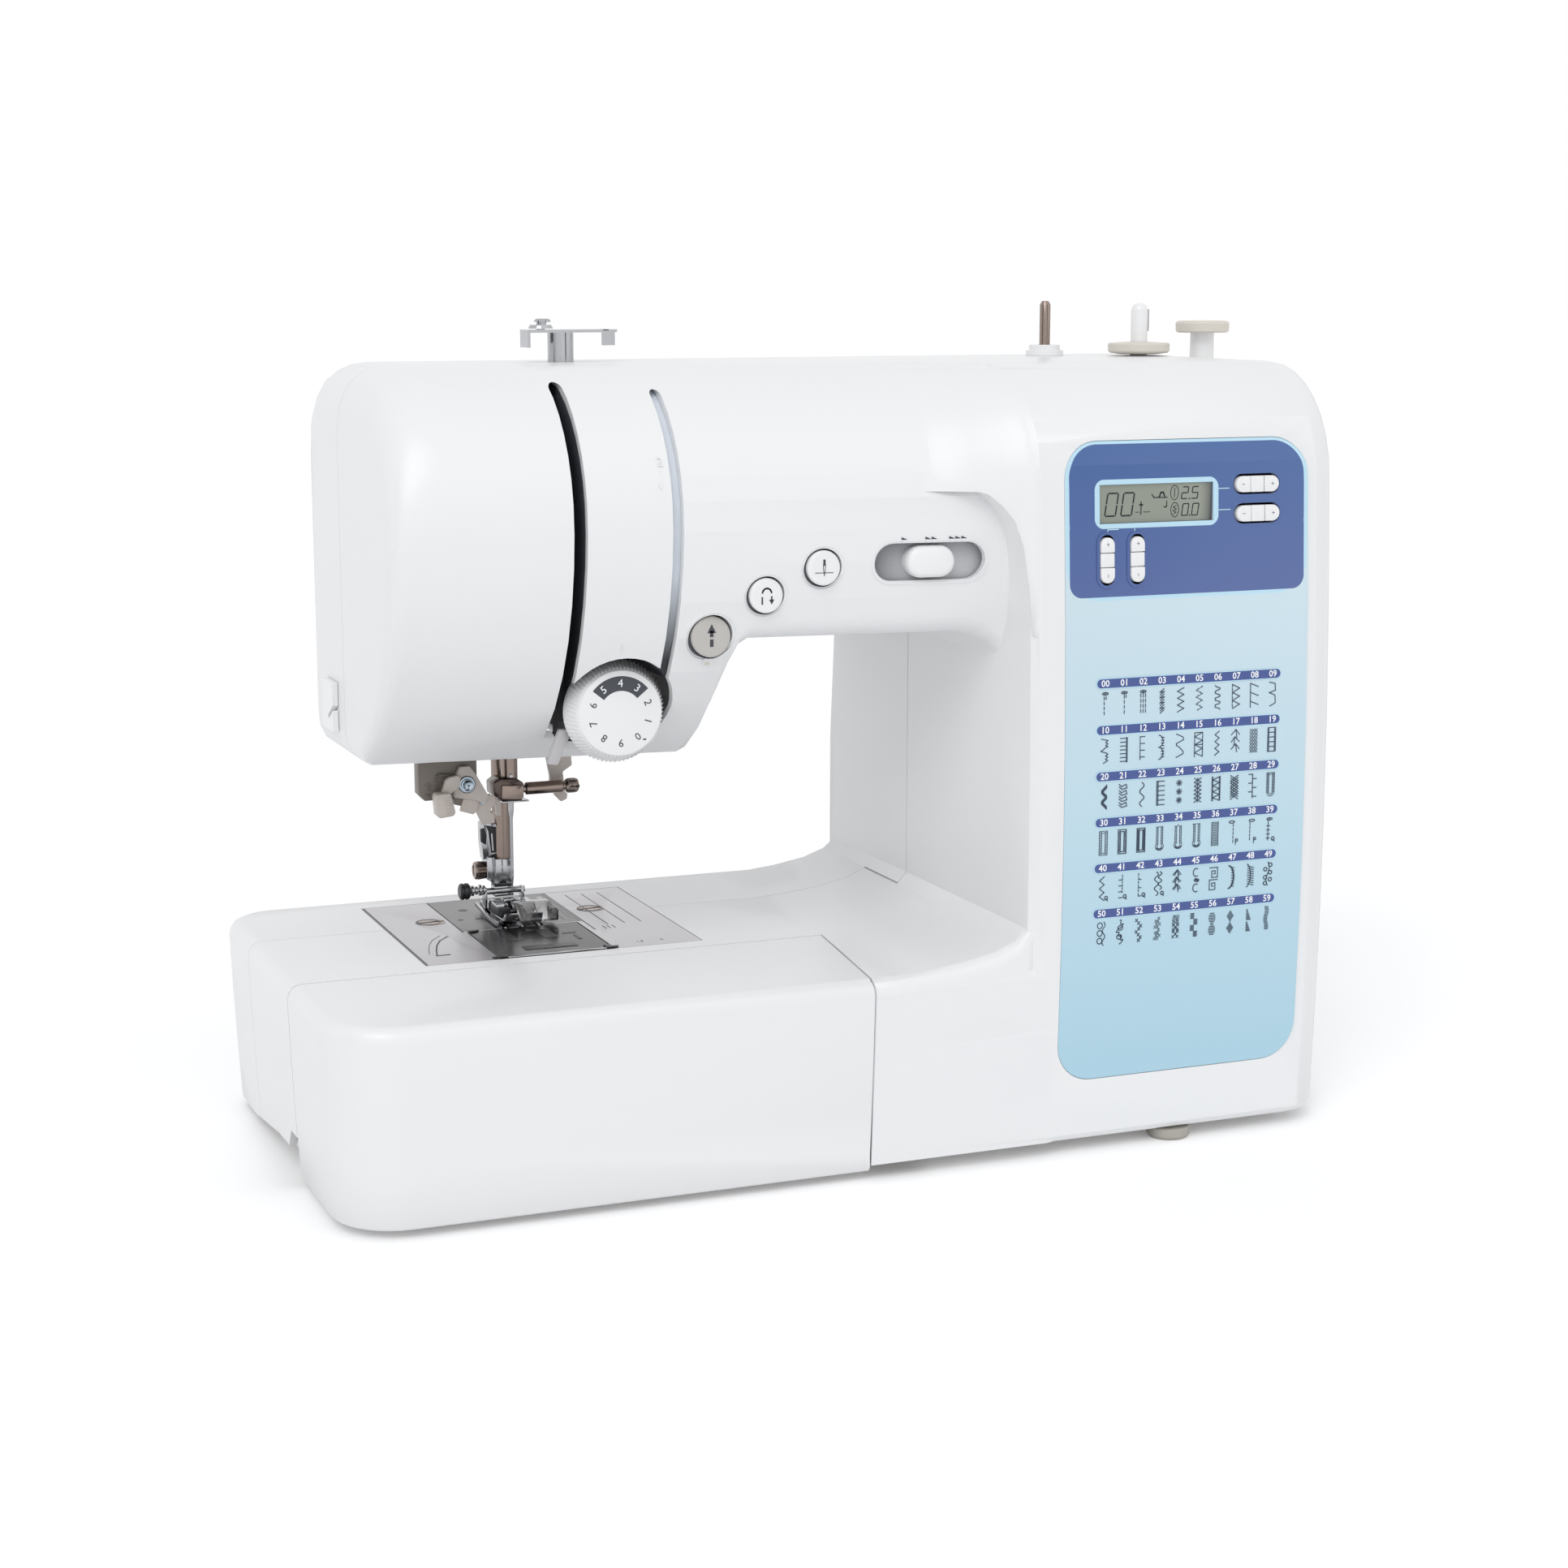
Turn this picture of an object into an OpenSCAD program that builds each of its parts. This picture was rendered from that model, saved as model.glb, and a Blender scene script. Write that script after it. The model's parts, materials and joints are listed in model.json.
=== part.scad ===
// Compact computerised household sewing machine.
// Frame: X to the right along the bed, Y to the back, Z up from the table.

/* [Housing] */
// Left end of the bed to the outer face of the handwheel
overall_l = 413; // [400:1:440]
// Depth of the bed from front to back
bed_d = 182; // [176:1:200]
// Height of the bed's working surface above the table
bed_h = 69; // [66:1:76]
// Height of the top of the arm above the table
arm_top = 267; // [262:1:280]
// Height of the underside of the arm above the bed
throat_h = 109.5; // [104:0.5:112]
// Gap between the bed and the underside of the needle head
head_gap = 65.5; // [62:0.5:70]
// Left face of the needle head, from the left end of the bed
head_x = 32; // [28:1:36]
// Where the throat meets the column, from the left end of the bed
throat_x = 239; // [232:1:246]
// Wall of the moulded covers
wall = 2.5; // [2:0.1:3]
// Gap at the joints between covers
seam_gap = 0.4; // [0.3:0.05:0.8]
// Plan radius of the bed's front left corner
bed_front_r = 25; // [18:1:34]
// Plan radius of the bed's back left corner
bed_back_r = 19; // [12:1:26]
// Height of the rubber feet under the base
foot_h = 5.2; // [4.5:0.1:6]

/* [Needle] */
// Needle bar axis, from the left end of the bed
needle_x = 95.5; // [94:0.5:97]
// Needle bar axis, behind the middle of the bed
needle_y = 42; // [40:0.5:44]
// Diameter of the needle bar
needle_bar_d = 6; // [5:0.1:6.6]
// Diameter of the presser bar
presser_bar_d = 7; // [6:0.1:7.6]
// Distance from the needle bar back to the presser bar
presser_back = 11; // [10.5:0.1:12]
// Travel of the needle bar
needle_stroke = 28; // [24:1:30]
// Lift of the presser foot
foot_lift = 6; // [4:0.5:7]

/* [Needle plate] */
// Width of the needle plate
plate_w = 98; // [92:1:102]
// Depth of the needle plate
plate_d = 92; // [88:1:94]
// Thickness of the needle plate
plate_t = 2; // [1.5:0.1:2.5]
// Width of the bobbin cover
cover_w = 41; // [38:1:44]
// Depth of the bobbin cover
cover_d = 43; // [40:1:45]

/* [Drive] */
// Diameter of the upper shaft
shaft_d = 10; // [8:0.5:12]
// Height of the upper shaft above the table
shaft_z = 200; // [196:1:204]
// Diameter of the handwheel
wheel_d = 72; // [60:1:72]
// Width of the handwheel
wheel_w = 23; // [18:1:25]
// Height of the lower shaft above the table
lower_z = 26; // [24:1:30]
// Diameter of the lower shaft
lower_d = 8; // [6:0.5:9]
// Running gap on the radius of every shaft, pin and bar
fit = 0.06; // [0.04:0.01:0.1]

/* [Controls] */
// Diameter of the round buttons
button_d = 14; // [12:0.5:15]
// Diameter of the two smaller buttons
small_button_d = 12; // [10:0.5:13]
// Travel of the buttons
button_travel = 1.5; // [1:0.1:2]
// Diameter of the knurled foot of the tension dial
dial_d = 36.5; // [34:0.5:38]
// Height of the tension dial
dial_h = 9; // [7:0.5:10]
// Length of the speed slider's window
slot_l = 38; // [34:1:42]
// Travel of the speed slider to each side of the middle
slide_travel = 8; // [6:0.5:9]
// Width of the control panel
panel_w = 93; // [88:1:95]
// Height of the control panel
panel_h = 216; // [206:1:218]

/* [Top fittings] */
// Diameter of the spool pin
spool_d = 4; // [3:0.1:5]
// Length of the spool pin
spool_l = 75; // [70:1:80]
// How far the spool pin pulls out
spool_travel = 40; // [40:1:52]
// Diameter of the bobbin winder's seat
seat_d = 23; // [20:1:24]
// Travel of the bobbin winder towards its stop
winder_travel = 5; // [4:0.5:6]

/* [Hidden] */
$fn = 40;
white = [0.93, 0.94, 0.95];
beige = [0.72, 0.69, 0.66];
steel = [0.75, 0.76, 0.78];
dark = [0.16, 0.17, 0.18];

// Main faces of the housing
left = -overall_l / 2;
front = -bed_d / 2;
back = bed_d / 2;
head_l = left + head_x;
head_z = bed_h + head_gap;
throat_z = bed_h + throat_h;
col_l = left + throat_x;
arm_back = 67;
col_back = 82;
col_top_back = 70;
col_r = 178;
arm_front_y = -49;
arm_slope = -0.12;
top_r = 50;
belly_r = 90;
pad_r = 40;
pad_z0 = foot_h;
nx = left + needle_x;
ny = needle_y;

// Front-most line of the arm at x
function arm_f(x) = arm_front_y + arm_slope * (x - head_l);
// How far the arm's face falls back at height z
function belly(z) = z > arm_top - top_r
    ? top_r - sqrt(max(0, pow(top_r, 2) - pow(z - (arm_top - top_r), 2)))
    : belly_r - sqrt(pow(belly_r, 2) - pow(arm_top - top_r - z, 2));
// Face of the arm at x, z
function arm_y(x, z) = arm_f(x) + belly(z);
// Face of the column at height z
function pad_y(z) = z > arm_top - pad_r
    ? front + 4 + pad_r - sqrt(pow(pad_r, 2) - pow(z - arm_top + pad_r, 2))
    : front + 4 * pow((z - 110) / 117, 2);
// Points along an arc
function arc(c, r, a0, a1, n) = [for (i = [0:n]) let (a = a0 + (a1 - a0) * i / n)
    [c[0] + r * cos(a), c[1] + r * sin(a)]];
// How far a rounded end of radius r is drawn in at distance d from the end
function draw_in(r, d) = d >= r ? 0 : r - sqrt(pow(r, 2) - pow(r - d, 2));

// Closed skin through rings of points, each ring as long as the next
module skin(rings) {
    n = len(rings[0]);
    m = len(rings);
    polyhedron(points = [for (r = rings) for (p = r) p], faces = concat(
        [[for (j = [0:n - 1]) n - 1 - j], [for (j = [0:n - 1]) (m - 1) * n + j]],
        [for (i = [0:m - 2]) for (j = [0:n - 1]) let (k = (j + 1) % n)
            [i * n + j, i * n + k, (i + 1) * n + k]],
        [for (i = [0:m - 2]) for (j = [0:n - 1]) let (k = (j + 1) % n)
            [i * n + j, (i + 1) * n + k, (i + 1) * n + j]]));
}
// Ring of Y, Z points standing at x
function at_x(x, pts) = [for (p = pts) [x, p[0], p[1]]];

// Section of the arm or head: top and bottom heights, how far its face stands out, inset g
belly_z = [0, 146, 156, 168, 180, 192, 204, 215];
low_r = 9;
function fall(z) = asin((arm_top - top_r - z) / belly_r);
function tangent_z(bot) = bot + low_r * (1 - sin(fall(bot + low_r * (1 - sin(fall(bot + 3))))));
function arm_ring(x, top, bot, out, g) = let (f = arm_f(x) - out, c = top - top_r, zb = tangent_z(bot),
    a = fall(zb)) at_x(x, concat(
        arc([f + belly(zb) + low_r * cos(a), bot + low_r], low_r - g, 270, 198 + 0.8 * a, 4),
        [for (k = [0:7]) let (z = min(max(belly_z[k], zb + g * sin(a) + 0.5 * k), c - 2 + 0.4 * k))
            [f + belly_r - sqrt(pow(belly_r - g, 2) - pow(arm_top - top_r - z, 2)), z]],
        arc([f + top_r, c], top_r - g, 171, 90, 9),
        arc([arm_back - 14, top - 14], 14 - g, 90, 0, 5),
        arc([arm_back - 6, bot + 6], max(6 - g, 0.4), 0, -90, 3)));

// How far a hollow corner of radius r stands out at distance d from the wall
function fill_out(r, d) = r - sqrt(pow(r, 2) - pow(r - d, 2));
// Lower edge of the head and the arm: [x, height]
throat_steps = [[-66, head_z], [-64.8, head_z + 2], [-64.6, 154], [-62.1, 169], [-59.6, 176], [-56, throat_z]];

// Outer form of the head and the arm, or its hollow when g is the wall
module arm_form(g) skin(concat(
    [for (d = [0, 0.8, 2.4, 5, 9, 13, 18]) arm_ring(head_l + g + d * (1 - g / 18), arm_top - draw_in(18, d),
        head_z + draw_in(5, d), 0, g + draw_in(5, d) * (g > 0 ? 0.5 : 1))],
    [for (t = throat_steps) arm_ring(t[0] - g * 0.7, arm_top, t[1], 0, g)],
    g > 0 ? [arm_ring(col_l + 30, arm_top, throat_z, 0, g)] : concat(
        [for (d = [19, 12, 7, 3.5, 1, 0]) arm_ring(col_l + 1 - d, arm_top, throat_z - fill_out(19, d),
            d > 10 ? 0 : fill_out(10, d), 0)],
        [arm_ring(col_l + 6, arm_top, throat_z - 19, 10, 0)])));

// Front of the column: face standing back by in, arc of radius r to the top, inset g
function pad_ring(in, top, r, g) = let (f = front + in + g) concat(
    [[f + 4.5, pad_z0 + g], [f + 3, pad_z0 + 2 + g]],
    [for (z = [45, 80, 110, 146, 183]) [f - front + pad_y(z), z]],
    arc([f - g + 4 + r, top - r], r - g, 180, 90, 8));
// Section of the column: stand back of the face, drop of the top, stand in of the back
function column_ring(x, in, top_in, back_in, g) = let (top = arm_top - top_in, rb = 16 - in * 0.06)
    at_x(x, concat(pad_ring(in, top, pad_r - in * 0.14, g),
        arc([col_top_back - back_in - rb, top - rb], rb - g, 90, 0, 5),
        [[col_back - back_in - g, 120], [col_back - back_in - g, pad_z0 + 3 + g],
            [col_back - back_in - 3 - g, pad_z0 + g]]));

// Right wall of the column: [x, stand back of the face, drop of the top, stand in of the back]
right_steps = [[105, 0, 0, 0], [col_r - 40, 0.6, 0.02, 0], [col_r - 35, 3, 0.3, 0], [col_r - 30, 8, 0.8, 0],
    [col_r - 27, 16, 1.4, 0.5], [col_r - 20, 28, 3, 1.5], [col_r - 12, 44, 7, 3], [col_r - 5, 62, 14, 6],
    [col_r - 1, 82, 24, 10], [col_r, 100, 32, 14]];

// Outer form of the column, or its hollow
module column_form(g) skin(concat(
    [column_ring(col_l - 2.5 + g, 3, 0, 0, g), column_ring(col_l + 0.5 + g, 0, 0, 0, g)],
    [for (s = right_steps) column_ring(s[0] - g * (s[0] - 105) / (col_r - 105), s[1], s[2], s[3], g)]));

// Upper band that carries the face of the column over into the arm:
// [x, part of the way to the column's face, height of its lower edge]
band_steps = [[-3, -0.03, 233], [3, 0.03, 231], [9, 0.15, 229], [14, 0.34, 227.5], [18, 0.5, 225.5],
    [22, 0.66, 221.5], [25, 0.78, 217], [27.3, 0.86, 209], [29, 0.91, 196], [30.2, 0.94, 180],
    [34, 0.985, 178]];
function mid(a, b, t) = a + (b - a) * t;
module upper_band() skin([for (s = band_steps) at_x(s[0], concat(
    [for (z = concat([s[2], mid(s[2], 226, 0.5), 226.5], [for (a = [20:14:90]) arm_top + top_r * (sin(a) - 1) - 0.02]))
        [mid(arm_y(s[0], z), pad_y(z), s[1]), z]], [[-15, arm_top - 0.02], [-15, s[2]]]))]);

// Plan of the bed, drawn in by d all round
function bed_ring(z, d) = [for (p = concat(
    arc([left + bed_front_r - skirt, front + bed_front_r], bed_front_r - d, 270, 180, 9),
    arc([left + bed_back_r - skirt, back - bed_back_r + skirt], bed_back_r - d, 180, 90, 8),
    arc([col_l + 8, back - 10 + skirt], 10 - d, 90, 0, 4),
    arc([col_l + 3 + d, front + 8], 8 - d, 0, -90, 3))) [p[0], p[1], z]];

// Heights and draw-in of the bed's skirt and top edge
function lean(z) = 4 * pow((z - 110) / 117, 2);
skirt = lean(bed_h - 5);
bed_steps = [[3, lean(3) + 1.2], [4.4, lean(4.4)], [24, lean(24)], [44, lean(44)], [bed_h - 5, skirt],
    [bed_h - 3, skirt + 0.4], [bed_h - 1, skirt + 1.6], [bed_h, skirt + 4]];

// Outer form of the bed, or its hollow
module bed_form(g) skin([for (s = bed_steps)
    bed_ring(s[0] - (s[0] > 50 ? g : s[0] < 4 ? 0.6 * g : 0), s[1] + g)]);

// Rise of the bed into the column: [distance left of the column, height over the bed, stand back]
rise_steps = [[62, -0.6, 0], [40, 0.6, 0], [26, 2.2, 0], [14, 4.6, 0], [6, 8, 0.2], [1.5, 13, 0.9], [-2, 21, 4]];
module bed_rise() skin([for (s = rise_steps) let (f = front + skirt + s[2] - 0.03, z = bed_h + s[1])
    at_x(col_l - s[0], [[f + 4, 9], [f + 0.3, bed_h - 9], [f, z - 5], [f + 0.5, z - 3], [f + 1.6, z - 1], [f + 4, z],
        [back - 8 - s[1] * 0.4, z], [back - 3 - s[1] * 0.4, z - 4], [back - 4.5, 9]])]);

// Whole outer form of the covers, or the hollow inside it
module housing_form(g) {
    arm_form(g);
    column_form(g);
    bed_form(g);
    if (g == 0) {
        bed_rise();
        upper_band();
    }
}

// Room for the accessory box, in front of the bed
box_back = -24;
box_r = -21;
module box_room(gap) difference() {
    translate([left - 5, front - 5, -1]) linear_extrude(bed_h + 5) polygon([[0, 0],
        [box_r - left + 1 + gap, 0], [box_r - left - 1 + gap, 8], [box_r - left + 5 + gap, 50],
        [box_r - left + 8 + gap, box_back - front + 5 + gap], [0, box_back - front + 5 + gap]]);
}

// Space of the front cover: parted in the head and column at y 10 to 22, in the bed further back
seam_y = 10;
bed_seam_y = 40;
module front_half(gap) {
    translate([0, 0, -1]) linear_extrude(arm_top + 2) polygon([[left - 1, front - 1], [col_r + 1, front - 1],
        [col_r + 1, seam_y + 4 - gap], [col_l + 40, seam_y - gap], [-60, seam_y - gap],
        [head_l + 30, seam_y + 9 - gap], [left - 1, seam_y + 13 - gap]]);
    translate([left - 1, front, -1]) cube([col_l - left - 4 - gap, bed_seam_y - front - gap, bed_h + 9 - gap]);
}

plate_cx = -108.5;
plate_front = -15.5;
plate_l = plate_cx - plate_w / 2;
cover_l = -132;

// Opening in the bed for the needle plate
module plate_opening(gap, deep) translate([plate_l - gap, plate_front - gap, bed_h - deep])
    cube([plate_w + 2 * gap, plate_d + 2 * gap, deep + 10]);

// Slots for the thread and the take-up lever, down the face of the head
slot_lx = -114.5;
slot_rx = -83;
slot_w = 4.4;
dial_x = -96.5;
dial_z = 154.5;
module long_slot(x, w, z0, z1) hull() for (z = [z0, z1])
    translate([x, -100, z]) rotate([-90, 0, 0]) cylinder(d = w, h = 82);
module face_slots() {
    long_slot(slot_lx, slot_w, head_z - 8, arm_top - 7);
    long_slot(slot_rx, slot_w * 0.8, dial_z, arm_top - 9);
    translate([dial_x, -100, dial_z]) rotate([-90, 0, 0]) cylinder(d = dial_d + 1.6, h = 90);
}

// Places of the buttons on the face of the arm: [x, z]
start_at = [-70, 180.2];
reverse_at = [-53.3, 193.7];
position_at = [-34.8, 202.4];
slider_at = [1.6, 203.5];
module button_holes(extra) {
    for (p = [start_at, reverse_at, position_at])
        translate([p[0], -100, p[1]]) rotate([-90, 0, 0]) cylinder(d = (p == start_at ? button_d : small_button_d) + extra, h = 70);
    translate([slider_at[0], -100, slider_at[1]]) hull() for (s = [-1, 1])
        translate([s * (slot_l / 2 - 6.3), 0, 0]) rotate([-90, 0, 0]) cylinder(r = 6.3, h = 65, $fn = 24);
}

// Control panel and its keys on the face of the column
panel_l = 41.5;
panel_z = 26.5;
key_places = [[57, 203.6, 90], [68.3, 203.6, 90], [114.2, 227.2, 0], [114.4, 217.4, 0]];
module panel_room(gap) translate([panel_l + panel_w / 2, 0, panel_z + panel_h / 2]) rotate([90, 0, 0])
    linear_extrude(120) offset(delta = gap) offset(r = 13) square([panel_w - 26, panel_h - 26], center = true);

module front_cover() color(white) difference() {
    union() {
        intersection() {
            difference() {
                housing_form(0);
                housing_form(wall);
            }
            front_half(seam_gap / 2);
        }
        // Wall of the free arm behind the accessory box
        intersection() {
            bed_form(0.6);
            box_room(wall + seam_gap);
        }
    }
    box_room(seam_gap);
    plate_opening(seam_gap, 12);
    face_slots();
    button_holes(0.8);
    base_room(0);
    panel_bed(0);
    for (k = key_places) key_room(k, 0.5);
    lcd_room(0.4);
    top_holes();
    lamp_room(0.3);
    head_floor_room();
    end_notch();
    floor_cut();
}

module rear_cover() color(white) difference() {
    intersection() {
        difference() {
            housing_form(0);
            housing_form(wall);
        }
        difference() {
            translate([left - 1, 0, -1]) cube([col_r - left + 2, bed_d, arm_top + 2]);
            front_half(-seam_gap / 2);
        }
    }
    plate_opening(seam_gap, 12);
    base_room(0);
    top_holes();
    head_floor_room();
    rear_holes();
    end_notch();
    floor_cut();
}

// The covers stand clear of the floor right of the accessory box
module floor_cut() translate([box_r - 8, front - 1, 0]) cube([160, bed_d + 2, foot_h + 0.03]);

// Bevel under the left end of the bed
module end_notch() translate([left - 1, 0, 0]) rotate([90, 0, 90]) linear_extrude(30)
    polygon([[box_back - 1, -1], [box_back - 1, 17], [-14, 17], [-8, 10], [8, 9.5], [62, 3], [62, -1]]);

// Plan of the base plate, L-shaped round the accessory box
function base_pts() = [[left + 8, box_back + 6], [box_r + 16, box_back + 6], [box_r + 16, front + 7],
    [col_r - 42, front + 7], [col_r - 30, front + 24], [col_r - 9, 30], [col_r - 9, 62],
    [col_r - 20, col_back - 6], [left + 26, col_back - 1], [left + 8, back - 28]];
base_z = 4;
base_t = 3;
module base_room(gap) translate([0, 0, -1]) linear_extrude(base_z + base_t + 3)
    offset(delta = 0.4 + gap) polygon(base_pts());

// Sheet over the face of the column, between two depths behind it
panel_t = 1;
module pad_sheet(a, b) translate([panel_l - 5, 0, 0]) rotate([90, 0, 90]) linear_extrude(panel_w + 10)
    polygon(concat(pad_ring(0, arm_top, pad_r, a), [for (q = [15:-1:0]) pad_ring(0, arm_top, pad_r, b)[q]]));
module panel_bed(gap) intersection() {
    panel_room(0.2 + gap);
    pad_sheet(-3, panel_t + 0.1);
}

// Rubber keys: room for one key at its place [x, z, turn]
key_l = 17.2;
key_w = 6;
module key_room(k, gap) translate([k[0], 0, k[1]]) rotate([90, k[2], 0]) linear_extrude(110)
    offset(delta = gap) hull() for (s = [-1, 1])
        translate([s * (key_l - key_w) / 2, 0]) circle(d = key_w, $fn = 24);

lcd_at = [76, 221.9];
lcd_w = 43;
lcd_h = 12.8;
module lcd_room(gap) translate([lcd_at[0] - lcd_w / 2 - gap, front - 2, lcd_at[1] - lcd_h / 2 - gap])
    cube([lcd_w + 2 * gap, 16, lcd_h + 2 * gap]);

// Fittings on top of the arm: [x, y]
spool_at = [96.2, 35];
winder_at = [127.6, 20];
stop_at = [154.5, 20];
guide_at = [-95, 25];
module top_holes() {
    translate([spool_at[0], spool_at[1], arm_top - 10]) cylinder(d = 9, h = 20, $fn = 32);
    hull() for (x = [-1, 1 + winder_travel]) translate([winder_at[0] + x, winder_at[1], arm_top - 10])
        cylinder(d = 9, h = 20, $fn = 32);
    translate([stop_at[0], stop_at[1], arm_top - 10]) cylinder(d = 8, h = 20, $fn = 32);
}

// Openings under the head for the bars, and at the lamp
lamp_at = [-146, 12];
module lamp_room(gap) translate([lamp_at[0] - 9 - gap, lamp_at[1] - 7 - gap, head_z - 1])
    cube([18 + 2 * gap, 14 + 2 * gap, 6]);
module head_floor_room() translate([nx - 37, ny - 27, head_z - 3]) cube([56, 46, 9]);

// Openings in the back and the right wall
lever_x = nx + 7;
switch_at = [54, 92];
socket_at = [54, 50];
module rear_holes() {
    translate([lever_x - 4.5, ny + 10, head_z + 8]) cube([9, 30, 44]);
    for (s = [[switch_at, 24, 15], [socket_at, 32, 17]])
        translate([col_r - 12, s[0][0] - s[2] / 2 - 0.3, s[0][1] - s[1] / 2 - 0.3])
            cube([20, s[2] + 0.6, s[1] + 0.6]);
    translate([drop_at - 11, back - 12, 30.4]) cube([22, 20, 6.2]);
    // Cooling slots low on the back
    for (i = [0:9]) hull() for (z = [22, 52])
        translate([52 + i * 8, col_back - 8, z]) rotate([-90, 0, 0]) cylinder(d = 3, h = 20, $fn = 16);
    // Room for the handwheel's hub
    translate([col_r - 14, ny, shaft_z]) rotate([0, 90, 0]) cylinder(d = 26, h = 30);
}

module base_plate() color([0.8, 0.81, 0.82]) translate([0, 0, base_z]) linear_extrude(base_t)
    polygon(base_pts());

foot_at = [[90, front + 10.5], [24, front + 26], [left + 20, 0], [left + 24, 66], [150, 58], [20, 66]];
module rubber_feet() color([0.68, 0.66, 0.62]) for (p = foot_at) translate([p[0], p[1], 0]) {
    cylinder(d1 = 13.4, d2 = 15, h = 1.2);
    translate([0, 0, 1.2]) cylinder(d = 15, h = base_z - 1.2);
}

// Accessory box: a tray open at its back, closed by the bed when it is in place
module accessory_box() color(white) difference() {
    intersection() {
        bed_form(0);
        box_room(0);
    }
    // Hollow, open at the back
    intersection() {
        translate([left, front, 5.5]) cube([box_r - left - 2, box_back - front + 20, bed_h - 5.5 - wall]);
        skin([for (z = [0, 100]) bed_ring(z, 5.2)]);
    }
}

screw_y = plate_front + 62;
screw_x = [plate_l + 18, plate_l + 77.5];
module needle_plate() color(steel) difference() {
    translate([plate_l, plate_front, bed_h - plate_t]) cube([plate_w, plate_d, plate_t]);
    translate([cover_l, plate_front - 1, bed_h - 6]) cube([cover_w, cover_d + 1, 10]);
    for (x = screw_x) translate([x, screw_y, bed_h - 6]) {
        cylinder(d = 4.4, h = 10);
        translate([0, 0, 4.4]) cylinder(d1 = 4.4, d2 = 10.8, h = 1.61);
    }
    // Needle slot and the slots for the feed dog
    translate([nx - 4, ny - 3.6, bed_h - 6]) cube([8, 4, 10]);
    for (x = feed_rows) translate([nx + x - 1.6, ny - feed_l / 2 - 3.6, bed_h - 6])
        cube([3.2, feed_l + 7.2, 10]);
    for (p = [[-13, 18], [-11.5, 2], [-18, 3]]) translate([nx + p[0], ny + p[1], bed_h - 6])
        cylinder(d = 2.4, h = 10);
}

module needle_plate_screws() color(steel) for (x = screw_x) translate([x, screw_y, bed_h]) {
    difference() {
        translate([0, 0, -1.4]) cylinder(d1 = 4.4, d2 = 10, h = 1.4);
        translate([-6, -0.6, -0.6]) cube([12, 1.2, 1]);
    }
    translate([0, 0, -9]) cylinder(d = 4, h = 7.7);
}

// Dark guides behind the slots in the head: a U-shaped channel for the take-up
// lever and a closed one for the thread
module arm_slab(x0, x1, g) skin([for (x = [x0, x1]) arm_ring(x, arm_top, head_z, 0, g)]);
module thread_channel() color(dark) difference() {
    union() {
        intersection() {
            arm_slab(slot_lx - 5, slot_lx + 5, wall + 0.3);
            translate([slot_lx - 6, -90, head_z + 3]) cube([12, 75, arm_top - head_z - 8]);
        }
        intersection() {
            arm_slab(slot_rx - 5, slot_rx + 5, wall + 0.3);
            translate([slot_rx - 6, -90, dial_z + 11]) cube([12, 85, arm_top - dial_z - 17]);
        }
        // Bearing of the tension dial
        translate([dial_x - 12, -9, dial_z - 11]) cube([30, 4, 33]);
    }
    translate([slot_lx - slot_w / 2, -80, head_z]) cube([slot_w, 100, arm_top - head_z]);
    translate([dial_x, -100, dial_z]) rotate([-90, 0, 0]) cylinder(d = dial_d + 1.6, h = 78);
    translate([dial_x, -20, dial_z]) rotate([-90, 0, 0]) cylinder(d = stem_d + 2 * fit, h = 20);
}
stem_d = 8;

module control_panel() color([0.55, 0.78, 0.9]) difference() {
    intersection() {
        panel_room(0);
        pad_sheet(0.15, panel_t);
    }
    for (k = key_places) key_room(k, 0.4);
    lcd_room(0);
}

module lcd_display() color([0.62, 0.66, 0.6]) translate([lcd_at[0] - lcd_w / 2, pad_y(lcd_at[1]) + 1.4,
    lcd_at[1] - lcd_h / 2]) cube([lcd_w, 2.4, lcd_h]);

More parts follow.
